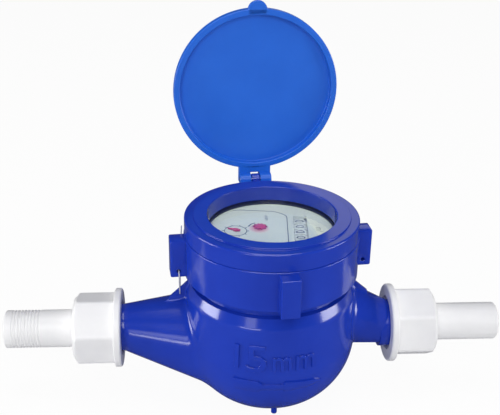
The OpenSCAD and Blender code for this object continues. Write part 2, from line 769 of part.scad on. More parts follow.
module pointer_arbor() {
    color(cream) register_frame() {
        arbor(pointer_at, neck_top + 0.4);
        place(pointer_at, pointer_wheel_z, driven_turn(star_at, pointer_at, reduction_teeth))
            wheel(pointer_module, reduction_teeth, gear_t);
        place(pointer_at, reduction_wheel_z - 0.4, heading(pointer_at, reduction_at))
            pinion(reduction_module, pinion_teeth, pinion_t);
    }
}

module reduction_arbor() {
    color(cream) register_frame() {
        arbor(reduction_at, dial_z + dial_t / 2 - free_clear);
        place(reduction_at, reduction_wheel_z, driven_turn(pointer_at, reduction_at, reduction_teeth))
            wheel(reduction_module, reduction_teeth, gear_t);
        place(reduction_at, worm_wheel_z - 0.4, heading(reduction_at, worm_at))
            pinion(worm_wheel_module, pinion_teeth, pinion_t);
    }
}

// Arbor of the worm with its wheel
module worm_arbor() {
    color(cream) register_frame() {
        arbor(worm_at, dial_z - 1 - free_clear);
        place(worm_at, worm_wheel_z, driven_turn(reduction_at, worm_at, reduction_teeth))
            wheel(worm_wheel_module, reduction_teeth, gear_t);
    }
}

// Two-start worm pressed on its arbor, drawn with a crest towards the units wheel at mid height
module worm() {
    lead = worm_starts * PI * counter_module;
    color(steel) register_frame() difference() {
        place(worm_at, counter_z - worm_len / 2, -180 * worm_len / lead)
            linear_extrude(worm_len, twist = -360 * worm_len / lead, slices = 28, $fn = 12) worm_section();
        place(worm_at, counter_z - worm_len, 0) cylinder(r = arbor_r + 0.02, h = 2 * worm_len, $fn = 32);
    }
}

module worm_section() {
    root = worm_r - 1.1 * counter_module;
    sides = 20;
    polygon([for (k = [0:sides - 1]) let (a = 360 * k / sides)
        (root + (worm_tip_r - root) * pow(max(cos(worm_starts * a), 0), 2)) * [cos(a), sin(a)]]);
}

// Red star that shows flow
module flow_star() {
    points = 10;
    star_r = 3.9;
    color(red) register_frame() place(star_at, neck_top + 0.4, 0) linear_extrude(0.7)
        polygon([for (k = [0:2 * points - 1])
            let (a = 180 * k / points, r = k % 2 == 0 ? star_r : 0.62 * star_r) r * [cos(a), sin(a)]]);
}

// Red pointer of the litre scale
module litre_pointer() {
    hub = 1.5;
    color(red) register_frame() place(pointer_at, neck_top + 0.4, 160) {
        cylinder(r = hub, h = 0.7, $fn = 32);
        linear_extrude(0.7)
            polygon([[0, -0.9], [4.6, -0.15], [4.6, 0.15], [0, 0.9], [-2.6, 0.7], [-2.6, -0.7]]);
    }
}

// Measuring chamber with a lower row of inlet jets and an upper row of outlet jets
module jets(z, h, lean) {
    jet_w = 4;
    for (k = [0:jet_count - 1])
        rotate(360 * k / jet_count) translate([chamber_r - 6, 0, z]) rotate(lean)
            translate([0, -jet_w / 2, 0]) cube([12, jet_w, h]);
}

module measuring_chamber() {
    floor_z = -chamber_drop;
    in_r = chamber_r - chamber_wall;
    boss_r = pivot_r + 2;
    color(white) at_axis() difference() {
        union() {
            turned([[0, floor_z], [chamber_r, floor_z], [chamber_r, ledge_top], [flange_r, ledge_top],
                [flange_r, ledge_top + flange_t], [chamber_r, ledge_top + flange_t], [chamber_r, chamber_top],
                [in_r, chamber_top], [in_r, floor_z + 2.5], [boss_r, floor_z + 2.5], [boss_r, floor_z + 4],
                [0, floor_z + 4]]);
        }
        translate([0, 0, floor_z + 1]) cylinder(r = pivot_r, h = 4, $fn = 32);
        jets(floor_z + 7, 9, 40);
        jets(ledge_top + flange_t + 2, 8, -40);
    }
}

module chamber_cover() {
    in_r = chamber_r - chamber_wall - seat_clear;
    color(white) at_axis() difference() {
        union() {
            translate([0, 0, chamber_top]) cylinder(r = chamber_r, h = cover_t);
            translate([0, 0, chamber_top - 1.5]) cylinder(r = in_r, h = 1.6);
        }
        translate([0, 0, chamber_top - 2]) cylinder(r = shaft_r + run_clear, h = cover_t + 3, $fn = 48);
    }
}

// Sealing ring on the flange of the measuring chamber
module chamber_ring() {
    ring_rad = 1;
    color(black) at_axis() translate([0, 0, ledge_top + flange_t + ring_rad])
        rotate_extrude() translate([chamber_r + ring_rad + seat_clear, 0]) circle(ring_rad, $fn = 32);
}

// Impeller with its shaft and pinion
module impeller() {
    hub_z = 4 - chamber_drop + 2;
    hub_top = chamber_top - 4;
    hub_r = 4.5;
    vane_t = 1.6;
    shaft_top = impeller_gear_z + gear_t + 0.4;
    color(cream) at_axis() difference() {
        union() {
            translate([0, 0, hub_z]) cylinder(r = hub_r, h = hub_top - hub_z);
            translate([0, 0, hub_top - eps]) cylinder(r = shaft_r, h = shaft_top - hub_top, $fn = 48);
            for (k = [0:vane_count - 1]) rotate(360 * k / vane_count)
                translate([hub_r - 1, -vane_t / 2, hub_z + 2])
                    cube([impeller_r - hub_r + 1, vane_t, hub_top - hub_z - 6]);
            rotate(register_turn + star_dir) translate([0, 0, impeller_gear_z - 0.2])
                pinion(impeller_module, impeller_teeth, gear_t + 0.4);
        }
        translate([0, 0, hub_z - 1]) cylinder(r = pivot_r + run_clear, h = 9, $fn = 32);
    }
}

module impeller_pivot() {
    color(steel) at_axis() translate([0, 0, 1 - chamber_drop]) cylinder(r = pivot_r, h = 12, $fn = 32);
}

// Strainer in the inlet face
module inlet_strainer() {
    cup_r = bore_r - seat_clear;
    slot_w = 1.2;
    color(cream) inlet_end() difference() {
        union() {
            translate([0, 0, -strainer_rim_t]) cylinder(r = strainer_rim_r, h = strainer_rim_t);
            translate([0, 0, -strainer_len]) cylinder(r = cup_r, h = strainer_len);
        }
        translate([0, 0, -strainer_len + 1]) cylinder(r = cup_r - 1, h = strainer_len + 1);
        for (k = [0:5]) rotate(60 * k) translate([-slot_w / 2, 0, -strainer_len + 2])
            cube([slot_w, cup_r + 1, strainer_len - strainer_rim_t - 4]);
        for (k = [-1:1]) translate([k * 3 * slot_w - slot_w / 2, -4, -strainer_len - 1]) cube([slot_w, 8, 3]);
    }
}

// Couplings
module washer() {
    color(black) tube(collar_r, washer_bore_r, 0, washer_t);
}

module inlet_washer() {
    inlet_end() washer();
}

module outlet_washer() {
    outlet_end() washer();
}

module tailpiece(tip_round) {
    neck = tail_r - tail_relief;
    step_out = nut_out + 1;
    color(white) turned(rounded([[bore_r, washer_t, 0.4], [collar_r, washer_t, 0.4],
        [collar_r, collar_end, 0.4], [neck, collar_end, 0.6], [neck, step_out, 0], [tail_r, step_out, 0],
        [tail_r, tail_end, tip_round], [bore_r, tail_end, 0.5]]));
}

module inlet_tailpiece() {
    inlet_end() tailpiece(0);
}

module outlet_tailpiece() {
    outlet_end() tailpiece(1.4);
}

module union_nut(turn) {
    hex_r = nut_flats / sqrt(3);
    end_r = nut_flats / 2 - 3;
    color(white) difference() {
        union() {
            intersection() {
                translate([0, 0, -nut_grip]) rotate(turn) cylinder(r = hex_r, h = nut_len, $fn = 6);
                turned(rounded([[0, -nut_grip, 0], [nut_corner_r, -nut_grip, 0],
                    [nut_corner_r, nut_out - 4.2, 1.6], [end_r, nut_out, 0.8], [0, nut_out, 0]]));
            }
            turned(rounded([[0, -nut_grip, 0], [nut_flange_r, -nut_grip, 1.2],
                [nut_flange_r, nut_flange_t - nut_grip, 1.2], [0, nut_flange_t - nut_grip, 0]]));
        }
        translate([0, 0, -nut_grip - 1]) cylinder(r = thread_r + thread_clear, h = nut_grip + 1 + nut_shelf);
        translate([0, 0, -nut_grip - 1]) cylinder(r = nut_mouth_r, h = nut_mouth_len + 1);
        translate([0, 0, nut_shelf - 1]) cylinder(r = tail_r + free_clear, h = nut_len);
    }
}

module inlet_nut() {
    inlet_end() union_nut(inlet_nut_turn);
}

module outlet_nut() {
    outlet_end() union_nut(outlet_nut_turn);
}

body();
cap_nut();
cover_ring();
lid();
hinge_pin();
seal_wire();
glass();
glass_gasket();
dial_plate();
register_case();
counter_bridge();
counter_axle();
carry_axle();
number_wheel(0);  // number_wheel_1
number_wheel(1);  // number_wheel_2
number_wheel(2);  // number_wheel_3
number_wheel(3);  // number_wheel_4
number_wheel(4);  // number_wheel_5
carry_pinion(1);  // carry_pinion_1
carry_pinion(2);  // carry_pinion_2
carry_pinion(3);  // carry_pinion_3
carry_pinion(4);  // carry_pinion_4
star_arbor();
flow_star();
pointer_arbor();
litre_pointer();
reduction_arbor();
worm_arbor();
worm();
measuring_chamber();
chamber_cover();
chamber_ring();
impeller();
impeller_pivot();
inlet_strainer();
inlet_washer();
outlet_washer();
inlet_tailpiece();
outlet_tailpiece();
inlet_nut();
outlet_nut();
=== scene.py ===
"""Looks of a plastic water meter with an open lid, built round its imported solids.

Sizes are in millimetres about the register axis and the pipe axis. They become metres in the
frame of the solids when a mesh is made.
"""

import json
import logging
import math
from dataclasses import dataclass
from enum import Enum
from functools import partial
from typing import Any, Callable, Optional, Sequence, Union

import bpy
import bmesh
import numpy as np
from mathutils import Matrix, Vector


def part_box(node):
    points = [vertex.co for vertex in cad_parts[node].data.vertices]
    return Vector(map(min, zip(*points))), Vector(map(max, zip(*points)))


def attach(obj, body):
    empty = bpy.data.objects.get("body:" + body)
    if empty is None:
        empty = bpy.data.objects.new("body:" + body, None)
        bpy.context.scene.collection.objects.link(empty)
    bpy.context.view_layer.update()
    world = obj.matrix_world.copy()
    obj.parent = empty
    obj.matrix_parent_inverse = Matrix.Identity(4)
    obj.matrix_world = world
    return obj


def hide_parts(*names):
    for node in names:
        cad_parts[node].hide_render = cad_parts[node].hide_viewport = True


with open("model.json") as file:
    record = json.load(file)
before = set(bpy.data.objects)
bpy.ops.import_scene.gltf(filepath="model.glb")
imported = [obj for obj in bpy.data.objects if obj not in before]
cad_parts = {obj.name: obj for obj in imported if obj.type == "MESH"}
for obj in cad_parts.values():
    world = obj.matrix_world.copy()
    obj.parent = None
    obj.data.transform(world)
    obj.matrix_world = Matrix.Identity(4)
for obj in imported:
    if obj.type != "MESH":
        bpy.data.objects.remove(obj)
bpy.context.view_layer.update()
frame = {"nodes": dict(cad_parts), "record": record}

LOG = logging.getLogger("water_meter")
MM = 0.001
Array = np.ndarray
Colour = tuple[float, float, float]
Corner = tuple[float, float, float]


def node_box(node: str) -> Array:
    """Box of a solid in millimetres, as its lowest and highest corners."""
    return np.array([list(corner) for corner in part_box(node)]) / MM


INLET_FACE = -91.0
OUTLET_FACE = 74.0
BODY_BOX = node_box("body")
GLASS_BOX = node_box("glass")
AXIS_X = float(BODY_BOX[0, 0]) - INLET_FACE
FLOOR_Z = float(BODY_BOX[0, 2])
COVER_TURN = math.radians(6.0)
REGISTER_TURN = math.radians(-3.7)
SHARP_EDGE = math.radians(38.0)
FULL_TURN = 2.0 * math.pi


class Body(Enum):
    """Rigid bodies that pieces ride on."""

    METER = "meter"
    LID = "lid"
    INLET_NUT = "inlet_nut"
    OUTLET_NUT = "outlet_nut"
    PINION_1 = "pinion_1"
    PINION_2 = "pinion_2"
    PINION_3 = "pinion_3"
    PINION_4 = "pinion_4"
    WHEEL_1 = "wheel_1"
    WHEEL_2 = "wheel_2"
    WHEEL_3 = "wheel_3"
    WHEEL_4 = "wheel_4"
    WHEEL_5 = "wheel_5"


# Shader maths


class Value:
    """A socket in a node tree whose operators add Math nodes."""

    def __init__(self, shader: "Shader", socket: Any) -> None:
        """Keeps the tree and the socket.

        Args:
            shader: The tree that new nodes go to.
            socket: An output socket.
        """
        self.shader = shader
        self.socket = socket

    def _math(self, operation: str, *terms: Any) -> "Value":
        """Adds a Math node of that operation on these terms."""
        inputs = {i: term for i, term in enumerate(terms)}
        return self.shader.node("ShaderNodeMath", {"operation": operation}, inputs)

    def __add__(self, other: Any) -> "Value":
        """Sum."""
        return self._math("ADD", self, other)

    def __radd__(self, other: Any) -> "Value":
        """Reflected sum."""
        return self._math("ADD", other, self)

    def __sub__(self, other: Any) -> "Value":
        """Difference."""
        return self._math("SUBTRACT", self, other)

    def __rsub__(self, other: Any) -> "Value":
        """Reflected difference."""
        return self._math("SUBTRACT", other, self)

    def __mul__(self, other: Any) -> "Value":
        """Product."""
        return self._math("MULTIPLY", self, other)

    def __rmul__(self, other: Any) -> "Value":
        """Reflected product."""
        return self._math("MULTIPLY", other, self)

    def clamp(self) -> "Value":
        """This value held between 0 and 1."""
        return self._math("MINIMUM", self._math("MAXIMUM", self, 0.0), 1.0)


class Shader:
    """A new material's node tree, with one method that makes any node."""

    def __init__(self, name: str) -> None:
        """Makes an empty material.

        Args:
            name: The material's name.
        """
        self.material = bpy.data.materials.new(name)
        self.material.use_nodes = True
        self.tree = self.material.node_tree
        self.tree.nodes.clear()

    def node(
        self,
        kind: str,
        settings: Optional[dict[str, Any]] = None,
        inputs: Optional[dict[Union[str, int], Any]] = None,
        output: Union[str, int] = 0,
    ) -> Value:
        """Adds a node.

        Args:
            kind: Blender's node type.
            settings: Properties set first; "stops" fills a colour ramp.
            inputs: Socket name or index to a value or a link.
            output: Name or index of the socket to return.

        Returns:
            The chosen output socket.
        """
        made = self.tree.nodes.new(kind)
        for key, setting in (settings or {}).items():
            if key == "stops":
                self._fill_ramp(made.color_ramp, setting)
            else:
                setattr(made, key, setting)
        for key, term in (inputs or {}).items():
            if isinstance(term, Value):
                self.tree.links.new(term.socket, made.inputs[key])
            else:
                made.inputs[key].default_value = term
        return Value(self, made.outputs[output] if made.outputs else None)

    @staticmethod
    def _fill_ramp(ramp: Any, stops: Sequence[tuple[float, Colour]]) -> None:
        """Writes a colour ramp's stops.

        Args:
            ramp: The ramp.
            stops: Places between 0 and 1, each with its colour.
        """
        while len(ramp.elements) < len(stops):
            ramp.elements.new(1.0)
        for element, (place, colour) in zip(ramp.elements, stops):
            element.position = place
            element.color = (*colour, 1.0)

    def place(self) -> Value:
        """Object coordinates, in metres."""
        return self.node("ShaderNodeTexCoord", output="Object")

    def noise(self, scale: float, detail: float = 3.0, roughness: float = 0.5) -> Value:
        """Noise over the object between 0 and 1."""
        inputs = {"Vector": self.place(), "Scale": scale, "Detail": detail, "Roughness": roughness}
        return self.node("ShaderNodeTexNoise", {"noise_dimensions": "3D"}, inputs)

    def ramp(self, factor: Value, stops: Sequence[tuple[float, Colour]]) -> Value:
        """Colour ramp over a factor."""
        return self.node("ShaderNodeValToRGB", {"stops": stops}, {"Fac": factor})

    def mix(self, factor: Any, low: Any, high: Any) -> Value:
        """Mix of two colours.

        Args:
            factor: Share of the second colour.
            low: The first colour.
            high: The second colour.

        Returns:
            The mixed colour.
        """
        low = low if isinstance(low, Value) else (*low, 1.0)
        high = high if isinstance(high, Value) else (*high, 1.0)
        settings = {"data_type": "RGBA"}
        return self.node("ShaderNodeMix", settings, {0: factor, 6: low, 7: high}, output=2)

    def bump(self, height: Value, distance: float, strength: float) -> Value:
        """Normal tilted by a height."""
        inputs = {"Height": height, "Distance": distance, "Strength": strength}
        return self.node("ShaderNodeBump", None, inputs)

    def surface(self, shader: Value) -> bpy.types.Material:
        """Links the surface output.

        Args:
            shader: The shader that covers the surface.

        Returns:
            The finished material.
        """
        self.node("ShaderNodeOutputMaterial", None, {"Surface": shader})
        return self.material


@dataclass(frozen=True)
class Plastic:
    """Moulded plastic with faint flow marks, a fine skin and dust in its roughness."""

    name: str
    colour: Colour
    shade: Colour
    roughness: float
    coat: float = 0.0
    skin: float = 0.06
    specular: float = 0.5
    cloud_scale: float = 38.0

    def make(self) -> bpy.types.Material:
        """Builds the material.

        Returns:
            The material.
        """
        shader = Shader(self.name)
        cloud = shader.noise(self.cloud_scale, 4.0, 0.6)
        speck = shader.noise(900.0, 2.0)
        tone = shader.ramp(cloud, [(0.3, self.shade), (0.68, self.colour)])
        rough = (self.roughness + (cloud - 0.5) * 0.1 + (speck - 0.5) * 0.06).clamp()
        skin = shader.bump(shader.noise(1500.0, 2.0) + cloud * 6.0, 0.00012, self.skin)
        return shader.surface(shader.node("ShaderNodeBsdfPrincipled", None, {
            "Base Color": tone, "Roughness": rough, "Normal": skin, "Coat Weight": self.coat,
            "Coat Roughness": 0.05, "Specular IOR Level": self.specular,
        }))


@dataclass(frozen=True)
class Metal:
    """Drawn metal with fine scratches."""

    name: str
    colour: Colour
    roughness: float

    def make(self) -> bpy.types.Material:
        """Builds the material.

        Returns:
            The material.
        """
        shader = Shader(self.name)
        streak = shader.noise(600.0, 5.0)
        tone = shader.ramp(streak, [(0.3, tuple(0.72 * c for c in self.colour)), (0.7, self.colour)])
        return shader.surface(shader.node("ShaderNodeBsdfPrincipled", {}, {
            "Base Color": tone, "Metallic": 1.0,
            "Roughness": (self.roughness + (streak - 0.5) * 0.2).clamp(),
        }))


@dataclass(frozen=True)
class Glass:
    """Clear window glass that lets light through to the dial."""

    name: str
    ior: float = 1.5

    def make(self) -> bpy.types.Material:
        """Builds the material.

        Returns:
            The material.
        """
        shader = Shader(self.name)
        smear = shader.noise(60.0, 4.0)
        body = shader.node("ShaderNodeBsdfPrincipled", None, {
            "Base Color": (0.93, 0.98, 0.97, 1.0), "Roughness": (smear * 0.03).clamp(),
            "IOR": self.ior, "Transmission Weight": 1.0, "Specular IOR Level": 0.15,
        })
        shadow = shader.node("ShaderNodeLightPath", output="Is Shadow Ray")
        open_way = shader.node("ShaderNodeBsdfTransparent", None, {"Color": (0.93, 0.97, 0.97, 1.0)})
        return shader.surface(shader.node("ShaderNodeMixShader", None, {0: shadow, 1: body, 2: open_way}))


@dataclass(frozen=True)
class Halo:
    """Tint that fades with the distance from a middle, kept in a mesh attribute named fade."""

    name: str
    middle: Colour
    rim: Colour

    def make(self) -> bpy.types.Material:
        """Builds the material.

        Returns:
            The material.
        """
        shader = Shader(self.name)
        fade = shader.node("ShaderNodeAttribute", {"attribute_name": "fade"}, output="Fac")
        tone = shader.mix((fade + (shader.noise(400.0) - 0.5) * 0.15).clamp(), self.middle, self.rim)
        inputs = {"Base Color": tone, "Roughness": 0.6}
        return shader.surface(shader.node("ShaderNodeBsdfPrincipled", None, inputs))


@dataclass(frozen=True)
class StudioFloor:
    """Pale floor that looks white and still takes the meter's shadow."""

    name: str
    glow: float = 0.95

    def make(self) -> bpy.types.Material:
        """Builds the material.

        Returns:
            The material.
        """
        shader = Shader(self.name)
        camera = shader.node("ShaderNodeLightPath", output="Is Camera Ray")
        bounce = shader.node("ShaderNodeLightPath", output="Is Diffuse Ray")
        pale = shader.node("ShaderNodeBsdfDiffuse", None, {"Color": (0.88, 0.88, 0.88, 1.0)})
        dim = shader.node("ShaderNodeBsdfDiffuse", None, {"Color": (0.16, 0.16, 0.17, 1.0)})
        matt = shader.node("ShaderNodeMixShader", None, {0: (bounce + camera).clamp(), 1: dim, 2: pale})
        white = shader.node("ShaderNodeEmission", None, {"Color": (1.0, 1.0, 1.0, 1.0), "Strength": 1.0})
        inputs = {0: camera * self.glow, 1: matt, 2: white}
        return shader.surface(shader.node("ShaderNodeMixShader", None, inputs))


Finish = Union[Plastic, Metal, Glass, Halo, StudioFloor]

BODY_BLUE = Plastic("body_blue_plastic", (0.0105, 0.042, 0.44), (0.009, 0.036, 0.40), 0.16, 0.15)
LID_BLUE = Plastic("lid_blue_plastic", (0.010, 0.132, 0.68), (0.008, 0.118, 0.63), 0.38, 0.0, 0.1)
COUPLING_WHITE = Plastic("coupling_white_plastic", (0.86, 0.86, 0.87), (0.80, 0.80, 0.82), 0.38, 0.0, 0.08)
INNER_WHITE = Plastic("inner_white_plastic", (0.72, 0.72, 0.68), (0.64, 0.64, 0.60), 0.45)
DIAL_PAPER = Plastic("dial_paper", (0.594, 0.602, 0.548), (0.55, 0.56, 0.514), 0.6, 0.0, 0.03, 0.2)
DIAL_INK = Plastic("dial_ink", (0.035, 0.04, 0.05), (0.06, 0.065, 0.075), 0.6, 0.0, 0.03, 0.2)
RED_INK = Plastic("red_ink", (0.50, 0.03, 0.05), (0.42, 0.04, 0.07), 0.55, 0.0, 0.03, 0.2)
PINK_GLOW = Halo("pink_glow", (0.60, 0.16, 0.22), (0.594, 0.602, 0.548))
# Violet of the half ring behind the flow star: a painted reflection of the blue ring wall in the red star,
# not ink.
STAR_REFLECTION_PAINT = Plastic("painted_star_reflection", (0.24, 0.16, 0.42), (0.28, 0.17, 0.44), 0.5, 0.0, 0.03, 0.2)
RED_PLASTIC = Plastic("red_plastic", (0.55, 0.025, 0.06), (0.42, 0.03, 0.12), 0.35)
RUBBER = Plastic("black_rubber", (0.012, 0.012, 0.014), (0.02, 0.02, 0.022), 0.7)
PALE_WIRE = Plastic("pale_wire", (0.62, 0.63, 0.66), (0.52, 0.53, 0.56), 0.4)
STEEL = Metal("drawn_steel", (0.56, 0.57, 0.58), 0.32)
WINDOW_GLASS = Glass("window_glass")
WHITE_FLOOR = StudioFloor("studio_floor")


class Finishes:
    """Materials made once and shared."""

    def __init__(self) -> None:
        """Starts with none made."""
        self._made: dict[str, bpy.types.Material] = {}

    def get(self, finish: Finish) -> bpy.types.Material:
        """The material of a finish, made the first time it is asked for.

        Args:
            finish: The finish.

        Returns:
            Its material.
        """
        if finish.name not in self._made:
            self._made[finish.name] = finish.make()
        return self._made[finish.name]


FINISHES = Finishes()

# Surfaces


@dataclass
class Sheet:
    """A grid of points and how it closes."""

    points: Array
    wrap_rows: bool = False
    wrap_columns: bool = False

    def faces(self) -> Array:
        """Quads between neighbouring grid points, wrapped where the grid closes.

        Returns:
            Four indices for each quad.
        """
        rows, columns = self.points.shape[:2]
        index = np.arange(rows * columns).reshape(rows, columns)
        if self.wrap_rows:
            index = np.vstack([index, index[:1]])
        if self.wrap_columns:
            index = np.hstack([index, index[:, :1]])
        quads = np.stack([index[:-1, :-1], index[:-1, 1:], index[1:, 1:], index[1:, :-1]], axis=-1)
        return quads.reshape(-1, 4)


def to_frame(points: Array) -> Array:
    """Millimetres about the register axis to metres in the frame of the solids."""
    return (points + np.array([AXIS_X, 0.0, 0.0])) * MM


def turned(points: Array, angle: float) -> Array:
    """Points turned about the register axis by an angle."""
    c, s = math.cos(angle), math.sin(angle)
    return points @ np.array([[c, s, 0.0], [-s, c, 0.0], [0.0, 0.0, 1.0]])


def mesh_points(mesh: bpy.types.Mesh) -> Array:
    """Reads a mesh's points.

    Args:
        mesh: The mesh.

    Returns:
        A row of coordinates for each point.
    """
    flat = np.empty(len(mesh.vertices) * 3)
    mesh.vertices.foreach_get("co", flat)
    return flat.reshape(-1, 3)


def add_object(mesh: bpy.types.Mesh, finish: Finish, body: Body) -> bpy.types.Object:
    """Covers a mesh with a finish and makes its object, riding on a body.

    Args:
        mesh: The mesh, in metres in the frame of the solids.
        finish: The finish that covers it.
        body: The rigid body it rides on.

    Returns:
        The object.
    """
    mesh.materials.append(FINISHES.get(finish))
    made = bpy.data.objects.new(mesh.name, mesh)
    bpy.context.scene.collection.objects.link(made)
    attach(made, body.value)
    LOG.info("piece %s: %d faces", mesh.name, len(mesh.polygons))
    return made


def make_object(name: str, sheets: Sequence[Sheet], finish: Finish, body: Body) -> bpy.types.Object:
    """One object from several closed grids, riding on a body.

    Args:
        name: The object's name.
        sheets: Grids in millimetres about the register axis.
        finish: The finish that covers it.
        body: The rigid body it rides on.

    Returns:
        The object.
    """
    counts = np.cumsum([0] + [s.points.shape[0] * s.points.shape[1] for s in sheets])
    points = np.concatenate([to_frame(s.points.reshape(-1, 3)) for s in sheets])
    quads = np.concatenate([s.faces() + offset for s, offset in zip(sheets, counts)])
    mesh = bpy.data.meshes.new(name)
    mesh.from_pydata(points, [], quads)
    return finish_mesh(mesh, finish, body)


def finish_mesh(
    mesh: bpy.types.Mesh, finish: Finish, body: Body, merge: float = 1e-7
) -> bpy.types.Object:
    """Closes a mesh, points its faces outwards, smooths it and makes its object.

    Args:
        mesh: The mesh, in metres in the frame of the solids.
        finish: The finish that covers it.
        body: The rigid body it rides on.
        merge: Distance in metres under which points become one.

    Returns:
        The object.
    """
    work = bmesh.new()
    work.from_mesh(mesh)
    bmesh.ops.remove_doubles(work, verts=work.verts, dist=merge)
    bmesh.ops.dissolve_degenerate(work, edges=work.edges, dist=merge)
    bmesh.ops.recalc_face_normals(work, faces=work.faces)
    work.to_mesh(mesh)
    work.free()
    mesh.polygons.foreach_set("use_smooth", np.ones(len(mesh.polygons), dtype=bool))
    mesh.set_sharp_from_angle(angle=SHARP_EDGE)
    return add_object(mesh, finish, body)


def stand_in(piece: bpy.types.Object, slot: str, *nodes: str) -> bpy.types.Object:
    """Hides the solids that a piece stands for, if any.

    Args:
        piece: The piece.
        slot: The record's material slot; not used.
        nodes: Solids that it replaces, if any.

    Returns:
        The piece.
    """
    if nodes:
        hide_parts(*nodes)
    return piece


def corner_arc(before: Array, at: Array, after: Array, radius: float, steps: int = 6) -> Array:
    """Rounds one corner of an outline by an arc that is tangent to both sides.

    Args:
        before: The point before the corner.
        at: The corner.
        after: The point after the corner.
        radius: The arc's radius, cut down where a side is short.
        steps: Chords in the arc.

    Returns:
        The arc's points.
    """
    u, v = before - at, after - at
    lu, lv = np.linalg.norm(u), np.linalg.norm(v)
    u, v = u / lu, v / lv
    half = math.acos(float(np.clip(u @ v, -1.0, 1.0))) / 2.0
    cut = min(radius / math.tan(half), lu * 0.48, lv * 0.48)
    t = np.linspace(0.0, 1.0, steps + 1)[:, None]
    middle = at + (u + v) / np.linalg.norm(u + v) * cut / math.cos(half)
    start, end = at + u * cut - middle, at + v * cut - middle
    sweep = math.pi - 2.0 * half
    return middle + (np.sin((1.0 - t) * sweep) * start + np.sin(t * sweep) * end) / math.sin(sweep)


def outline(corners: Sequence[Corner], closed: bool = True, hold: float = 0.2) -> Array:
    """Outline from corners with radii, with extra points beside the arcs that keep flats flat.

    Args:
        corners: Rows of two coordinates and a radius.
        closed: True if the last corner joins the first.
        hold: Distance of the extra points from the ends of a straight stretch.

    Returns:
        The outline's points.
    """
    table = np.array(corners, dtype=float)
    count = len(table)
    parts = []
    for i in range(count):
        before, at, after = table[i - 1, :2], table[i, :2], table[(i + 1) % count, :2]
        inner = closed or 0 < i < count - 1
        rounded = inner and table[i, 2] > 0
        parts.append(corner_arc(before, at, after, table[i, 2]) if rounded else at[None])
    points = np.concatenate(parts)
    ends = np.roll(points, -1, axis=0)
    span = ends - points
    length = np.linalg.norm(span, axis=1, keepdims=True)
    long_span = length > 4.0 * hold
    unit = span / np.maximum(length, 1e-9)
    extra = np.stack([points, np.where(long_span, points + unit * hold, points),
                      np.where(long_span, ends - unit * hold, points)], axis=1).reshape(-1, 2)
    if not closed:
        extra = extra[:-2]
    keep = np.ones(len(extra), dtype=bool)
    keep[1:] = np.linalg.norm(np.diff(extra, axis=0), axis=1) > 1e-6
    return extra[keep]


def around(r: Array, angle: Array, z: Array) -> Array:
    """Points round the register axis: (r cos a, r sin a, z), with a row for each height."""
    x = r * np.cos(angle)
    return np.stack([x, r * np.sin(angle), np.broadcast_to(z, x.shape)], axis=-1)


def unit_way(angle: Union[float, Array]) -> Array:
    """Unit vectors (cos a, sin a) at these angles."""
    return np.stack([np.cos(angle), np.sin(angle)], axis=-1)


def revolve(profile: Array, segments: int = 192, closed: bool = True) -> Sheet:
    """Surface of revolution: each profile point (r, z) goes round the register axis.

    Args:
        profile: Points of radius and height.
        segments: Steps round the axis.
        closed: True if the profile is a closed loop.

    Returns:
        The grid.
    """
    angle = np.linspace(0.0, FULL_TURN, segments, endpoint=False)
    points = around(profile[:, :1], angle, profile[:, 1:])
    return Sheet(points, wrap_rows=closed, wrap_columns=True)


def along_pipe(sheet: Sheet, face_x: float, side: int) -> Sheet:
    """Turns a grid's height into distance along the pipe, outward from a face.

    Args:
        sheet: A grid about the register axis.
        face_x: Where the face stands.
        side: -1 at the inlet, 1 at the outlet.

    Returns:
        The grid about the pipe axis.
    """
    x, y, z = np.moveaxis(sheet.points, -1, 0)
    points = np.stack([face_x + side * z, y, -x], axis=-1)
    return Sheet(points, sheet.wrap_rows, sheet.wrap_columns)


def rounded_box(
    low: Sequence[float], high: Sequence[float], radius: float, steps: int = 5
) -> list[Sheet]:
    """Box with round edges: points of a cube pushed to a radius from an inner box.

    Args:
        low: Lowest corner.
        high: Highest corner.
        radius: Radius of the edges.
        steps: Steps across an edge.

    Returns:
        Six grids that meet at their borders.
    """
    low, high = np.array(low, dtype=float), np.array(high, dtype=float)
    middle, half = (low + high) / 2.0, (high - low) / 2.0
    inset = radius * (1.0 - np.tan(np.linspace(0.0, math.pi / 4.0, steps)))
    sheets = []
    for axis in range(3):
        a, b = (axis + 1) % 3, (axis + 2) % 3
        lines = [np.concatenate([inset[::-1] - half[k], half[k] - inset]) for k in (a, b)]
        grid_a, grid_b = np.meshgrid(*lines, indexing="ij")
        for sign in (-1.0, 1.0):
            cube = np.zeros(grid_a.shape + (3,))
            cube[..., a], cube[..., b], cube[..., axis] = grid_a, grid_b, sign * half[axis]
            core = np.clip(cube, radius - half, half - radius)
            away = cube - core
            cube = core + radius * away / np.linalg.norm(away, axis=-1, keepdims=True)
            sheets.append(Sheet(cube + middle))
    return sheets


def evenly(loop: Array, count: int) -> Array:
    """A closed loop sampled at even steps of its length.

    Args:
        loop: The loop's points in a plane.
        count: Points wanted.

    Returns:
        The new points.
    """
    closed = np.vstack([loop, loop[:1]])
    run = np.concatenate([[0.0], np.cumsum(np.linalg.norm(np.diff(closed, axis=0), axis=1))])
    at = np.linspace(0.0, run[-1], count, endpoint=False)
    return np.column_stack([np.interp(at, run, closed[:, 0]), np.interp(at, run, closed[:, 1])])


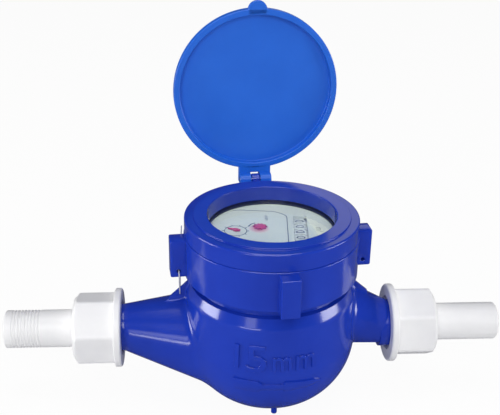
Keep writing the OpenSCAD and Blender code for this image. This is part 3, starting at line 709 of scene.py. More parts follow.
def pierced_block(
    low: Sequence[float], high: Sequence[float], hole: tuple[float, float], hole_r: float, edge: float
) -> Sheet:
    """Block with a round hole along Y: a loop of a rounded rectangle and a circle at both ends.

    Args:
        low: Lowest corner.
        high: Highest corner.
        hole: Where the hole's axis crosses the XZ plane.
        hole_r: The hole's radius.
        edge: Radius of the block's edges.

    Returns:
        A closed grid, from the outer edge at the front to the hole and round by the back.
    """
    def loop(inset: float) -> Array:
        """Rounded rectangle drawn in by an inset."""
        x0, x1, z0, z1 = low[0] + inset, high[0] - inset, low[2] + inset, high[2] - inset
        return evenly(outline([(x0, z0, edge), (x1, z0, edge), (x1, z1, edge), (x0, z1, edge)]), 120)
    centre = np.array(hole)
    outer, drawn = loop(0.0), loop(edge)
    way = outer - centre
    way = way / np.linalg.norm(way, axis=1, keepdims=True)
    eased, mouth, bore = outer * 0.7 + drawn * 0.3, centre + 1.4 * hole_r * way, centre + hole_r * way
    rings = [(outer, low[1] + edge), (eased, low[1] + 0.3 * edge), (drawn, low[1]), (mouth, low[1]),
             (bore, low[1] + 0.3), (bore, high[1] - 0.3), (mouth, high[1]), (drawn, high[1]),
             (eased, high[1] - 0.3 * edge), (outer, high[1] - edge)]
    points = np.stack([np.column_stack([xz[:, 0], np.full(len(xz), y), xz[:, 1]]) for xz, y in rings])
    return Sheet(points, wrap_rows=True, wrap_columns=True)


def moved(sheets: Sequence[Sheet], change: Callable[[Array], Array]) -> list[Sheet]:
    """The same grids with their points changed."""
    return [Sheet(change(s.points), s.wrap_rows, s.wrap_columns) for s in sheets]


def flat_rod(radius: float, x0: float, x1: float, y: float, z: float, edge: float = 0.4) -> Sheet:
    """Cylinder along X with round edges, closed at both ends.

    Args:
        radius: Its radius.
        x0: Where it starts.
        x1: Where it ends.
        y: Place of its axis.
        z: Height of its axis.
        edge: Radius of its edges.

    Returns:
        The grid.
    """
    ends = [(0.0, x0, 0.0), (radius, x0, edge), (radius, x1, edge), (0.0, x1, 0.0)]
    profile = outline(ends, closed=False)
    x, yy, zz = np.moveaxis(revolve(profile, 48, closed=False).points, -1, 0)
    return Sheet(np.stack([zz, yy + y, x + z], axis=-1), wrap_columns=True)


def text_mesh(
    words: str, size: float, depth: float, place: Callable[[Array], Array], name: str, bevel: float = 0.0
) -> bpy.types.Mesh:
    """Letters as a mesh carried onto a surface.

    Args:
        words: What it says.
        size: Height of the letters' em in millimetres.
        depth: Thickness, or 0 for flat ink.
        place: Takes flat points, in millimetres about the middle of the line, to their surface.
        name: The mesh's name.
        bevel: Radius of the letters' edges.

    Returns:
        The mesh, in metres in the frame of the solids.
    """
    curve = bpy.data.curves.new(name, "FONT")
    curve.body, curve.size, curve.align_x = words, size, "CENTER"
    curve.extrude, curve.bevel_depth, curve.resolution_u = depth / 2.0, bevel, 6
    holder = bpy.data.objects.new(name + "_flat", curve)
    bpy.context.scene.collection.objects.link(holder)
    solved = holder.evaluated_get(bpy.context.evaluated_depsgraph_get())
    mesh = bpy.data.meshes.new_from_object(solved)
    bpy.data.objects.remove(holder)
    bpy.data.curves.remove(curve)
    mesh.vertices.foreach_set("co", to_frame(place(mesh_points(mesh))).ravel())
    mesh.name = name
    mesh.update()
    return mesh


# Body moulding


def soft_union(a: Array, b: Array, radius: float) -> Array:
    """Smooth minimum of two distance fields, which leaves a fillet of about that radius."""
    h = np.clip(0.5 + 0.5 * (b - a) / radius, 0.0, 1.0)
    return b + (a - b) * h - radius * h * (1.0 - h)


@dataclass
class Spout:
    """Cone from a pipe end into the bowl."""

    end_x: float
    end_z: float
    end_r: float
    slope: float
    flare: float
    stop_x: float
    reach: float
    fillet: float = 2.6

    def distance(self, p: Array) -> Array:
        """Signed distance to the cone: radius about its own axis less the cone's radius there.

        Args:
            p: Points about the register axis.

        Returns:
            Distances, negative inside.
        """
        side = -1.0 if self.end_x < 0.0 else 1.0
        along = np.array([-side * math.cos(self.slope), 0.0, math.sin(self.slope)])
        away = p - np.array([self.end_x, 0.0, self.end_z])
        s = away @ along
        rho = np.linalg.norm(away - s[..., None] * along, axis=-1)
        cone = (rho - self.end_r - s * math.tan(self.flare)) * math.cos(self.flare)
        return np.maximum.reduce([cone, side * p[..., 0] - abs(self.stop_x), s - self.reach])


@dataclass
class Gusset:
    """Thin web between the neck's foot and a spout, in the plane of the pipe."""

    top: tuple[float, float]
    foot: tuple[float, float]
    thickness: float = 2.5
    inner_x: float = 30.0
    fillet: float = 0.9

    def distance(self, p: Array) -> Array:
        """Signed distance to the plate under the line from its top to its foot.

        Args:
            p: Points about the register axis.

        Returns:
            Distances, negative inside.
        """
        side = math.copysign(1.0, self.top[0])
        x, z = side * p[..., 0], p[..., 2]
        run = np.array([abs(self.foot[0]) - abs(self.top[0]), self.foot[1] - self.top[1]])
        normal = np.array([-run[1], run[0]]) / np.linalg.norm(run)
        edge = (x - abs(self.top[0])) * normal[0] + (z - self.top[1]) * normal[1]
        flank = np.abs(p[..., 1]) - self.thickness / 2.0
        return np.maximum.reduce([edge, flank, x - abs(self.foot[0]), self.inner_x - x, -z])


@dataclass(frozen=True)
class Letter:
    """A raised letter: its size, its angle from the front, its height on the bowl and its stretch."""

    words: str
    size: float
    middle: float
    height: float
    stretch: float


SIZE_MARK = (
    Letter("1", 20.0, -25.0, 1.6, 1.0),
    Letter("5", 21.5, -12.4, 1.0, 1.25),
    Letter("m", 17.0, 3.6, 1.6, 0.88),
    Letter("m", 17.5, 18.8, 1.4, 0.92),
)


@dataclass
class BodyMoulding:
    """Bowl, spouts and webs as one skin, with the neck and the hollow inside."""

    bowl_r: float = 48.2
    base_z: float = -40.0
    base_flat_r: float = 15.0
    heel_r: float = 28.5
    heel_angle: float = math.radians(41.0)
    shoulder_r: float = 46.6
    shoulder_z: float = 24.5
    crease_round: float = 0.5
    neck_root_r: float = 44.2
    neck_root_z: float = 30.5
    neck_r: float = 41.8
    neck_bore_r: float = 37.6
    neck_top: float = 56.0
    wall: float = 4.0
    thread_r: float = 13.22
    thread_len: float = 12.0
    bore_r: float = 7.5
    foot_r: float = 1.65
    foot_root_z: float = -37.0
    foot_ring_r: float = 24.5
    foot_angles: tuple[float, ...] = (-85.5, 34.5, 154.5)
    mark_depth: float = 1.1
    mark_edge: float = 0.2
    mark_sink: float = 0.15
    arrow_z: float = -9.4
    rays: int = 400
    fan_z: float = -8.0
    halvings: int = 34
    far: float = 110.0

    def __post_init__(self) -> None:
        """Works out the arcs of the bowl: the belly arc is tangent to the heel and to the equator."""
        a = self.heel_angle
        self.heel_c = np.array([self.base_flat_r, self.base_z + self.heel_r])
        meet = self.heel_c + self.heel_r * np.array([math.sin(a), -math.cos(a)])
        self.belly_r = (self.bowl_r - meet[0]) / (1.0 - math.sin(a))
        self.belly_c = meet + self.belly_r * np.array([-math.sin(a), math.cos(a)])
        self.spouts = (
            Spout(INLET_FACE + 8.0, 0.8, 12.5, math.radians(-7.5), math.radians(16.4), -83.5, 52.9),
            Spout(OUTLET_FACE - 8.0, 0.3, 12.2, math.radians(17.8), math.radians(9.6), 66.5, 36.0),
        )
        root = self.neck_root_z
        self.webs = (Gusset((-self.neck_root_r, root), (-58.5, 16.6)),
                     Gusset((self.neck_root_r, root), (54.8, 21.4)))

    def bowl_distance(self, r: Array, z: Array) -> Array:
        """Signed distance to the bowl's outline: base, heel arc, belly arc, flank and shoulder.

        Args:
            r: Radii from the register axis.
            z: Heights.

        Returns:
            Distances, negative inside.
        """
        heel = np.hypot(r - self.heel_c[0], z - self.heel_c[1]) - self.heel_r
        belly = np.hypot(r - self.belly_c[0], z - self.belly_c[1]) - self.belly_r
        swing = np.arctan2(z - self.belly_c[1], r - self.belly_c[0])
        lower = np.where(swing < self.heel_angle - math.pi / 2.0, heel, belly)
        lower = np.where(r < self.base_flat_r, self.base_z - z, lower)
        crease = (self.shoulder_r, self.shoulder_z)
        flank = self._line(r, z, (self.bowl_r, self.belly_c[1]), crease)
        cone = self._line(r, z, crease, (self.neck_root_r, self.neck_root_z))
        upper = -soft_union(-flank, -cone, self.crease_round)
        return np.where(z < self.belly_c[1], lower, upper)

    @staticmethod
    def _line(r: Array, z: Array, low: tuple[float, float], high: tuple[float, float]) -> Array:
        """Signed distance to the outer side of a line from low to high."""
        dr, dz = high[0] - low[0], high[1] - low[1]
        return ((r - low[0]) * dz - (z - low[1]) * dr) / math.hypot(dr, dz)

    def distance(self, p: Array) -> Array:
        """Signed distance to the whole moulding with its fillets.

        Args:
            p: Points about the register axis.

        Returns:
            Distances, negative inside.
        """
        field = self.bowl_distance(np.hypot(p[..., 0], p[..., 1]), p[..., 2])
        for part in (*self.spouts, *self.webs):
            field = soft_union(field, part.distance(p), part.fillet)
        return field

    def skin(self) -> tuple[Array, Array]:
        """Outer skin: along rays from the axis, the place where the distance field is zero.

        Rays are level above the pipe and fan down from one point below it. They crowd towards
        the webs and the shoulder's crease. The zero is found by halving an interval on all rays
        at once.

        Returns:
            Grid of points from the middle of the base up to the neck, and the rays' angles.
        """
        u = np.linspace(0.0, FULL_TURN, self.rays, endpoint=False)
        theta = u - 0.4 * np.sin(2.0 * u)
        rise = np.concatenate([np.linspace(self.fan_z, self.shoulder_z - 0.8, 72)[1:],
                               self.shoulder_z + np.array([-0.5, -0.25, 0.0, 0.25, 0.5]),
                               np.linspace(self.shoulder_z + 0.8, self.neck_root_z - 0.05, 14)])
        fan = np.radians(np.linspace(-90.0, 0.0, 76)[1:])
        dip = np.concatenate([fan, np.zeros(len(rise))])[:, None]
        way = around(np.cos(dip), theta, np.sin(dip))
        origin = np.zeros_like(way)
        origin[..., 2] = np.concatenate([np.full(len(fan), self.fan_z), rise])[:, None]
        near, far = np.zeros(way.shape[:2]), np.full(way.shape[:2], self.far)
        for _ in range(self.halvings):
            middle = (near + far) / 2.0
            inside = self.distance(origin + middle[..., None] * way) < 0.0
            near, far = np.where(inside, middle, near), np.where(inside, far, middle)
        return origin + near[..., None] * way, theta

    def build(self) -> list[bpy.types.Object]:
        """Makes the body and its raised marks.

        Returns:
            The pieces.
        """
        outer, theta = self.skin()
        flank_r, floor = self.shoulder_r - self.wall, self.base_z + self.wall
        inner = outline([
            (self.neck_r, self.neck_root_z + 0.5, 0.5), (self.neck_r, self.neck_top, 0.4),
            (self.neck_bore_r, self.neck_top, 0.4), (self.neck_bore_r, self.neck_root_z - 2.0, 0.0),
            (flank_r, self.shoulder_z - self.wall, 0.0), (flank_r, -1.0, 0.0), (33.0, -1.0, 0.0),
            (33.0, -4.0, 0.0), (43.8, -4.0, 0.0), (41.5, -15.0, 0.0), (35.0, -26.0, 0.0),
            (25.0, -33.0, 0.0), (15.0, floor, 0.0), (0.0, floor, 0.0)], closed=False)
        pole = np.zeros((1, len(theta), 3))
        pole[..., 2] = self.base_z
        ring = around(inner[:, :1], theta, inner[:, 1:])
        shell = Sheet(np.concatenate([pole, outer, ring]), wrap_columns=True)
        boss = outline([(self.bore_r, 0.0, 0.4), (self.thread_r, 0.0, 0.8),
                        (self.thread_r, -self.thread_len, 0.4), (self.bore_r, -self.thread_len, 0.4)])
        faces = ((INLET_FACE, -1), (OUTLET_FACE, 1))
        bosses = [along_pipe(revolve(boss, 96), x, side) for x, side in faces]
        made = make_object("body_skin", [shell, *bosses, *self.feet()], BODY_BLUE, Body.METER)
        return [stand_in(made, "blue_plastic", "body"), *self.marks()]

    def feet(self) -> list[Sheet]:
        """Three small round feet under the heel.

        Returns:
            A grid for each.
        """
        r, root = self.foot_r, self.foot_root_z
        profile = outline([(0.0, FLOOR_Z, 0.0), (r, FLOOR_Z, 0.5), (r, root, 0.2), (0.0, root, 0.0)],
                          closed=False)
        foot = revolve(profile, 32, closed=False)
        out = np.array([self.foot_ring_r, 0.0, 0.0])
        places = [turned(out, math.radians(angle)) for angle in self.foot_angles]
        return [Sheet(foot.points + place, wrap_columns=True) for place in places]

    def on_bowl(self, flat: Array, middle: float, height: float, stretch: float = 1.0) -> Array:
        """Flat points wrapped on the front of the bowl.

        Args:
            flat: Points across, up and out of the surface.
            middle: Angle of the middle from the front, in degrees.
            height: Height of the flat origin.
            stretch: Factor on the points' distance across.

        Returns:
            Points on the bowl.
        """
        z = flat[:, 1] + height
        above = z - self.belly_c[1]
        swell = np.sqrt(np.maximum(self.belly_r**2 - np.minimum(above, 0.0) ** 2, 0.0))
        lean = (self.bowl_r - self.shoulder_r) / (self.shoulder_z - self.belly_c[1])
        radius = self.belly_c[0] + swell - np.maximum(above, 0.0) * lean
        angle = math.radians(middle - 90.0) + flat[:, 0] * stretch / self.bowl_r
        radius = radius + flat[:, 2] - self.mark_sink
        return np.stack([radius * np.cos(angle), radius * np.sin(angle), z], axis=-1)

    def marks(self) -> list[bpy.types.Object]:
        """Raised size mark and flow arrow on the front.

        Returns:
            The pieces.
        """
        made = []
        depth, bevel = self.mark_depth * 1.6, self.mark_edge
        for number, mark in enumerate(SIZE_MARK, start=1):
            place = partial(self.on_bowl, middle=mark.middle, height=mark.height, stretch=mark.stretch)
            mesh = text_mesh(mark.words, mark.size, depth, place, f"raised_mark_{number}", bevel)
            made.append(finish_mesh(mesh, BODY_BLUE, Body.METER))
        return [stand_in(piece, "blue_plastic") for piece in (*made, self.arrow())]

    def arrow(self) -> bpy.types.Object:
        """Raised flow arrow: tail block, thin shaft and head, as a strip between its edges.

        Returns:
            The piece, proud along its upper edge and sunk into the bowl along its lower one.
        """
        across = np.array([-22.6, -9.4, -7.2, 4.2, 4.9, 22.0, 26.5])
        half = np.array([4.4, 4.2, 2.4, 2.4, 4.0, 2.2, 0.2])
        t = np.linspace(across[0], across[-1], 120)
        h = np.interp(t, across, half)
        x, y = np.concatenate([t, t[::-1]]), np.concatenate([h, -h[::-1]])
        root, depth = -0.4, self.mark_depth
        share = np.array([1.0, 1.0, 0.94, 0.5, 0.0])[:, None]
        rise = np.array([root, depth * 0.7, depth, depth, depth])[:, None]
        lean = np.where(y > 0.0, 1.0, 0.1)
        out = np.where(rise > 0.0, rise * (1.0 - share * (1.0 - lean)), rise)
        flat = np.stack([np.broadcast_to(x, out.shape), share * y, out], axis=-1)
        points = self.on_bowl(flat.reshape(-1, 3), 0.0, self.arrow_z).reshape(flat.shape)
        spine = np.column_stack([x, 0.0 * y, np.full(len(x), root)])
        back = self.on_bowl(spine, 0.0, self.arrow_z)[None]
        strip = Sheet(np.concatenate([back, points]), wrap_columns=True)
        return make_object("flow_arrow", [strip], BODY_BLUE, Body.METER)


# Cap, cover and lid


@dataclass
class CapNut:
    """Screwed cap with four wrench lugs."""

    r: float = 47.6
    low: float = 36.3
    joint: float = 59.0
    collar_r: float = 42.4
    bore_r: float = 41.9
    lip_z: float = 61.9
    top: float = 65.9
    opening_r: float = 34.5
    lug_reach: float = 55.4
    lug_w: float = 10.0
    lug_low: float = 37.0
    lug_high: float = 58.4
    lug_root: float = 3.0
    lug_edge: float = 0.7
    hole: tuple[float, float] = (51.0, 40.5)
    hole_r: float = 1.1

    def build(self) -> bpy.types.Object:
        """Makes the cap and its lugs; the left and right lugs are pierced for the seal wire.

        Returns:
            The piece.
        """
        profile = outline([
            (self.bore_r, self.low, 0.3), (self.r, self.low, 0.9), (self.r, self.joint, 0.6),
            (self.collar_r, self.joint, 0.0), (self.collar_r, self.top, 0.3),
            (self.opening_r + 0.25, self.top, 0.0), (self.opening_r, self.lip_z, 0.3),
            (self.bore_r, self.lip_z, 0.2)])
        low = (self.r - self.lug_root, -self.lug_w / 2.0, self.lug_low)
        high = (self.lug_reach, self.lug_w / 2.0, self.lug_high)
        plain = rounded_box(low, high, self.lug_edge)
        pierced = [pierced_block(low, high, self.hole, self.hole_r, self.lug_edge)]
        sheets = [revolve(profile)]
        for k in range(4):
            sheets += moved(plain if k % 2 else pierced, lambda p, a=k * math.pi / 2.0: turned(p, a))
        sheets = moved(sheets, lambda p: turned(p, COVER_TURN))
        made = make_object("cap_nut_skin", sheets, BODY_BLUE, Body.METER)
        return stand_in(made, "blue_plastic", "cap_nut")


@dataclass
class CoverRing:
    """Ring over the cap with a raised step and the hinge lug."""

    r: float = 47.2
    low: float = 59.0
    top: float = 69.0
    step_r: float = 42.4
    step_top: float = 70.0
    inner_r: float = 42.6
    ledge_z: float = 65.9
    opening_r: float = 35.0
    hinge_d: float = 53.0
    hinge_z: float = 67.6
    knuckle_r: float = 3.2
    lug_w: float = 4.6

    def build(self) -> bpy.types.Object:
        """Makes the ring with its lug.

        Returns:
            The piece.
        """
        profile = outline([
            (self.inner_r, self.low, 0.2), (self.r, self.low, 0.5), (self.r, self.top, 1.1),
            (self.step_r, self.top, 0.25), (self.step_r, self.step_top, 0.35),
            (self.opening_r, self.step_top, 0.5), (self.opening_r - 0.25, self.ledge_z, 0.0),
            (self.inner_r, self.ledge_z, 0.2)])
        w = self.lug_w / 2.0
        low = (-w, self.r - 2.0, self.hinge_z - self.knuckle_r)
        lug = rounded_box(low, (w, self.hinge_d, self.top - 1.0), 0.4)
        sheets = [revolve(profile), *lug, flat_rod(self.knuckle_r, -w, w, self.hinge_d, self.hinge_z)]
        sheets = moved(sheets, lambda p: turned(p, COVER_TURN))
        made = make_object("cover_ring_skin", sheets, BODY_BLUE, Body.METER)
        return stand_in(made, "blue_plastic", "cover_ring")


@dataclass
class Lid:
    """Round lid with a rim, a pull tab and a hinge block, standing open."""

    ring: CoverRing
    r: float = 46.9
    rim_w: float = 3.4
    rim_h: float = 3.5
    plate: float = 2.0
    tab_w: float = 11.0
    tab_t: float = 2.4
    tab_room: float = 0.6
    hinge_w: float = 18.5
    hinge_drop: float = 0.6
    heel: float = 1.4
    gap: float = 0.3
    pin_r: float = 1.25
    pin_proud: float = 0.02
    open_angle: float = math.radians(90.0)

    def swing(self, p: Array) -> Array:
        """Points of the closed lid turned open about the hinge and with the cover.

        Args:
            p: Points of the closed lid.

        Returns:
            Where they stand with the lid open.
        """
        c, s = math.cos(-self.open_angle), math.sin(-self.open_angle)
        d, h = self.ring.hinge_d, self.ring.hinge_z
        y, z = p[..., 1] - d, p[..., 2] - h
        return turned(np.stack([p[..., 0], y * c - z * s + d, y * s + z * c + h], axis=-1), COVER_TURN)

    def knuckle(self, side: float) -> list[Sheet]:
        """One half of the hinge block with its stop heel.

        Args:
            side: -1 or 1 along the hinge.

        Returns:
            Grids of the closed lid.
        """
        ring, base = self.ring, self.ring.top + self.gap
        inner, outer = ring.lug_w / 2.0 + self.gap, self.hinge_w / 2.0
        x0, x1 = sorted((side * inner, side * outer))
        d, z, k = ring.hinge_d, ring.hinge_z, ring.knuckle_r
        stop = d - ring.r - self.gap
        back = base + self.rim_h + self.plate - self.hinge_drop
        return [
            flat_rod(k, x0, x1, d, z),
            *rounded_box((x0, self.r - self.rim_w / 2.0, base), (x1, d + k, back), 0.5),
            *rounded_box((x0, d - k, z), (x1, d + k, base + 1.0), 0.3),
            *rounded_box((x0, d, z - stop), (x1, d + k + self.heel, z), 0.4),
        ]

    def build(self) -> list[bpy.types.Object]:
        """Makes the lid and its hinge pin.

        Returns:
            The pieces.
        """
        ring, low = self.ring, self.ring.top + self.gap
        inside, top = low + self.rim_h, low + self.rim_h + self.plate
        rim_r, half_tab = self.r - self.rim_w, self.tab_w / 2.0
        plate = outline([(0.0, inside, 0.0), (rim_r, inside, 0.5), (rim_r, low, 0.5),
                         (self.r, low, 0.5), (self.r, top, 1.4), (0.0, top, 0.0)], closed=False)
        tab = outline([(0.0, low, 0.0), (half_tab, low, 0.6), (half_tab, low + self.tab_t, 0.8),
                       (0.0, low + self.tab_t, 0.0)], closed=False)
        lobe = revolve(tab, 64, closed=False).points + np.array([0.0, 1.0 - self.r, 0.0])
        reach = np.hypot(lobe[..., 0], lobe[..., 1])
        lobe[..., :2] *= (np.maximum(reach, rim_r + self.tab_room) / reach)[..., None]
        half_web = ring.lug_w / 2.0 + 2.0 * self.gap
        web_end = ring.hinge_d - ring.knuckle_r - self.gap
        web = rounded_box((-half_web, self.r - self.rim_w / 2.0, low),
                          (half_web, web_end, top - self.hinge_drop), 0.4)
        sheets = [revolve(plate, closed=False), Sheet(lobe, wrap_columns=True),
                  *self.knuckle(-1.0), *self.knuckle(1.0), *web]
        made = make_object("lid_skin", moved(sheets, self.swing), LID_BLUE, Body.LID)
        half_pin = self.hinge_w / 2.0 + self.pin_proud
        pin = flat_rod(self.pin_r, -half_pin, half_pin, ring.hinge_d, ring.hinge_z, 0.15)
        steel = make_object("hinge_pin_skin", moved([pin], self.swing), STEEL, Body.LID)
        return [stand_in(made, "lid_plastic", "lid"), stand_in(steel, "steel", "hinge_pin")]


# Couplings


@dataclass
class Coupling:
    """Union nut and tailpiece at one end of the body, measured outward from the body's end face."""

    name: str
    body: Body
    face_x: float
    side: int
    nut_turn: float
    tip_round: float
    threaded: bool
    nut_in: float
    nut_out: float
    flats: float = 35.6
    corner_r: float = 20.1
    corner_round: float = 0.5
    flange_r: float = 22.0
    flange_t: float = 4.0
    nut_bore_r: float = 13.3
    mouth_r: float = 15.22
    mouth: float = 2.4
    shelf: float = 13.3
    lip_bore_r: float = 10.78
    tail_r: float = 10.48
    relief: float = 0.2
    bore_r: float = 7.5
    collar_r: float = 12.9
    collar: tuple[float, float] = (3.0, 13.0)
    tail_end: float = 56.0
    pitch: float = 1.81
    thread_depth: float = 0.4
    thread_fade: float = 1.4
    thread_zone: tuple[float, float] = (3.2, 20.5)

    def nut(self) -> Sheet:
        """Hexagon whose radius is the smaller of its flat and a turned outline, with flange and bores.

        Returns:
            The grid about the register axis.
        """
        angle = np.linspace(0.0, FULL_TURN, 360, endpoint=False)
        sixth = FULL_TURN / 6.0
        fold = (angle - math.radians(self.nut_turn)) % sixth - sixth / 2.0
        flat_r, back = self.flats / 2.0, self.nut_in + self.flange_t
        mouth_end = self.nut_in + self.mouth
        outer = outline([
            (self.mouth_r, self.nut_in, 0.3), (self.flange_r, self.nut_in, 1.2),
            (self.flange_r, back, 1.2), (self.corner_r, back, 0.0), (self.corner_r, self.nut_out - 2.2, 1.0),
            (flat_r - 1.2, self.nut_out, 0.9), (self.lip_bore_r, self.nut_out, 0.4),
            (self.lip_bore_r, self.shelf, 0.2), (self.nut_bore_r, self.shelf, 0.2),
            (self.nut_bore_r, mouth_end, 0.0), (self.mouth_r, mouth_end, 0.0)])
        ring = np.broadcast_to(outer[:, :1], (len(outer), len(angle)))
        cut = soft_union(ring, np.broadcast_to(flat_r / np.cos(fold), ring.shape), self.corner_round)
        plain = (ring < flat_r - 1.0) | (ring > self.corner_r + 0.05)
        return Sheet(around(np.where(plain, ring, cut), angle, outer[:, 1:]), True, True)

    def tail(self) -> Sheet:
        """Tube with a collar; on a threaded end its radius follows a helix near the tip.

        Returns:
            The grid about the register axis.
        """
        neck, step = self.tail_r - self.relief, self.nut_out + 0.6
        start, end = (self.tail_end - reach for reach in self.thread_zone[::-1])
        body = outline([
            (self.bore_r, self.collar[0], 0.4), (self.collar_r, self.collar[0], 0.4),
            (self.collar_r, self.collar[1], 0.4), (neck, self.collar[1], 0.5), (neck, step, 0.0),
            (self.tail_r, step, 0.0), (self.tail_r, start - 1.0, 0.0)], closed=False)
        tip = outline([
            (self.tail_r, end + 0.4, 0.0), (self.tail_r, self.tail_end, self.tip_round),
            (self.bore_r, self.tail_end, 0.6), (self.bore_r, self.collar[0] + 0.5, 0.0)], closed=False)
        z = np.linspace(start, end, 230)
        angle = np.linspace(0.0, FULL_TURN, 120, endpoint=False)
        turn = (z[:, None] / self.pitch - self.side * angle / FULL_TURN) % 1.0
        ridge = np.clip(1.25 - 2.5 * np.abs(turn - 0.5) * 2.0 + 0.55, 0.0, 1.0)
        fade = np.clip(np.minimum(z - z[0], z[-1] - z) / self.thread_fade, 0.0, 1.0)[:, None]
        depth = self.thread_depth * (1.0 - ridge) * fade * (1.0 if self.threaded else 0.0)
        plain = [np.broadcast_to(part[:, :1], (len(part), len(angle))) for part in (body, tip)]
        r = np.concatenate([plain[0], self.tail_r - depth, plain[1]])
        height = np.concatenate([body[:, 1], z, tip[:, 1]])[:, None]
        return Sheet(around(r, angle, height), True, True)

    def build(self) -> list[bpy.types.Object]:
        """Makes the nut and the tailpiece.

        Returns:
            The pieces.
        """
        made = []
        for sheet, skin, node, body in ((self.nut(), "nut", "nut", self.body),
                                        (self.tail(), "tail", "tailpiece", Body.METER)):
            sheets = [along_pipe(sheet, self.face_x, self.side)]
            piece = make_object(f"{self.name}_{skin}_skin", sheets, COUPLING_WHITE, body)
            made.append(stand_in(piece, "white_plastic", f"{self.name}_{node}"))
        return made


# Register


@dataclass
class Register:
    """Dial, window and the pieces seen through it."""

    glass_r: float = 41.2
    gasket_bore_r: float = 34.3
    dial_z: float = 56.0
    dial_t: float = 1.5
    counter: tuple[float, float] = (16.1, 4.0)
    counter_z: float = 45.1
    wheels: int = 5
    wheel_r: float = 9.0
    pitch: float = 6.7
    digit_size: float = 7.0
    digit_middle: float = 2.5
    ink: float = 0.05
    plate_r: float = 37.2
    slot: tuple[float, float, float, float] = (12.3, 19.9, -12.0, 20.0)
    slot_round: float = 0.3
    star: tuple[float, float] = (-6.18, 4.25)
    halo_r: float = 6.2
    halo_fade: float = 1.7
    litre_hub: tuple[float, float] = (-19.4, 0.0)
    litre_r: float = 6.0
    thin_line: float = 0.45

    def on_dial(self, flat: Array, at: tuple[float, float] = (0.0, 0.0), turn: float = 0.0) -> Array:
        """Flat print laid on the dial.

        Args:
            flat: Points across and up the print.
            at: Where its origin goes, in the register's own frame.
            turn: Its turn in degrees.

        Returns:
            Points just above the dial.
        """
        points = turned(flat, math.radians(turn)) + np.array([*at, self.dial_z + self.ink])
        return turned(points, REGISTER_TURN)

    def on_wheel(self, flat: Array, wheel: int, digit: int) -> Array:
        """One digit wrapped on its number wheel, its top towards +X.

        Args:
            flat: Points across and up the digit.
            wheel: The wheel's number, from 1.
            digit: The digit, which sets its place round the wheel.

        Returns:
            Points just above the wheel.
        """
        y = self.counter[1] + (wheel - 3) * self.pitch
        angle = math.pi / 2.0 - digit * math.pi / 5.0 - (flat[:, 1] - self.digit_middle) / self.wheel_r
        r = self.wheel_r + self.ink
        x, z = self.counter[0] + r * np.cos(angle), self.counter_z + r * np.sin(angle)
        return turned(np.stack([x, y - flat[:, 0], z], axis=-1), REGISTER_TURN)

    def build(self) -> list[bpy.types.Object]:
        """Makes the window and its gasket, the dial, the digits and the print.

        Returns:
            The pieces.
        """
        low, high = GLASS_BOX[:, 2]
        disc = outline([(0.0, low, 0.0), (self.glass_r, low, 0.4), (self.glass_r, high, 0.4),
                        (0.0, high, 0.0)], closed=False)
        glass = make_object("window", [revolve(disc, 160, closed=False)], WINDOW_GLASS, Body.METER)
        stand_in(glass, "window", "glass")
        return [glass, self.gasket(), self.plate(), self.halo(), *self.digits(), *self.print_marks()]

    def gasket(self) -> bpy.types.Object:
        """Flat rubber ring between the neck and the window.

        Returns:
            The piece.
        """
        inner, outer, low, high = self.gasket_bore_r, self.glass_r, self.dial_z, GLASS_BOX[0, 2]
        ring = outline([(inner, low, 0.2), (outer, low, 0.2), (outer, high, 0.2), (inner, high, 0.2)])
        made = make_object("gasket_skin", [revolve(ring)], RUBBER, Body.METER)
        return stand_in(made, "rubber", "glass_gasket")

    def plate(self) -> bpy.types.Object:
        """Dial plate: rays from the middle of its counter slot, from the slot's edge to the round rim.

        Returns:
            The piece, with the raised line inside the gasket.
        """
        x0, x1, y0, y1 = self.slot
        middle = np.array([(x0 + x1) / 2.0, (y0 + y1) / 2.0])
        corners = [(x0, y0), (x1, y0), (x1, y1), (x0, y1)]
        inner = evenly(outline([(x, y, self.slot_round) for x, y in corners]), 240)
        way = inner - middle
        way = way / np.linalg.norm(way, axis=1, keepdims=True)
        lean = way @ middle
        outer = middle + way * (np.sqrt(lean**2 - middle @ middle + self.plate_r**2) - lean)[:, None]
        top, under = self.dial_z, self.dial_z - self.dial_t
        rows = [(inner, top), (outer, top), (outer, under), (inner, under)]
        points = np.stack([np.column_stack([xy, np.full(len(xy), z)]) for xy, z in rows])
        rim = outline([(33.4, top - 0.1, 0.0), (34.1, top - 0.1, 0.0), (34.1, top + 0.6, 0.1),
                       (33.6, top + 0.6, 0.1)])
        sheets = [Sheet(turned(points, REGISTER_TURN), True, True), revolve(rim)]
        made = make_object("dial_skin", sheets, DIAL_PAPER, Body.METER)
        return stand_in(made, "dial_print", "dial_plate")

    def halo(self) -> bpy.types.Object:
        """Pink tint round the flow star: a disc whose fade grows with its radius.

        Returns:
            The piece.
        """
        edge, under = self.halo_r, -self.ink
        ring = np.array([[0.0, 0.0], [2.6, 0.0], [4.6, 0.0], [edge, 0.0], [edge, under], [0.0, under]])
        disc = revolve(ring, 64, closed=False).points
        at = (self.star[0] - 0.5, self.star[1] - 0.9)
        flat = self.on_dial(disc.reshape(-1, 3), at).reshape(disc.shape)
        made = make_object("star_halo", [Sheet(flat, wrap_columns=True)], PINK_GLOW, Body.METER)
        place = mesh_points(made.data)[:, :2]
        middle = (place.min(axis=0) + place.max(axis=0)) / 2.0
        away = np.linalg.norm(place - middle, axis=1) / (edge * MM)
        fade = made.data.attributes.new("fade", "FLOAT", "POINT")
        fade.data.foreach_set("value", (away**self.halo_fade).astype(np.float32))
        return stand_in(made, "dial_print")

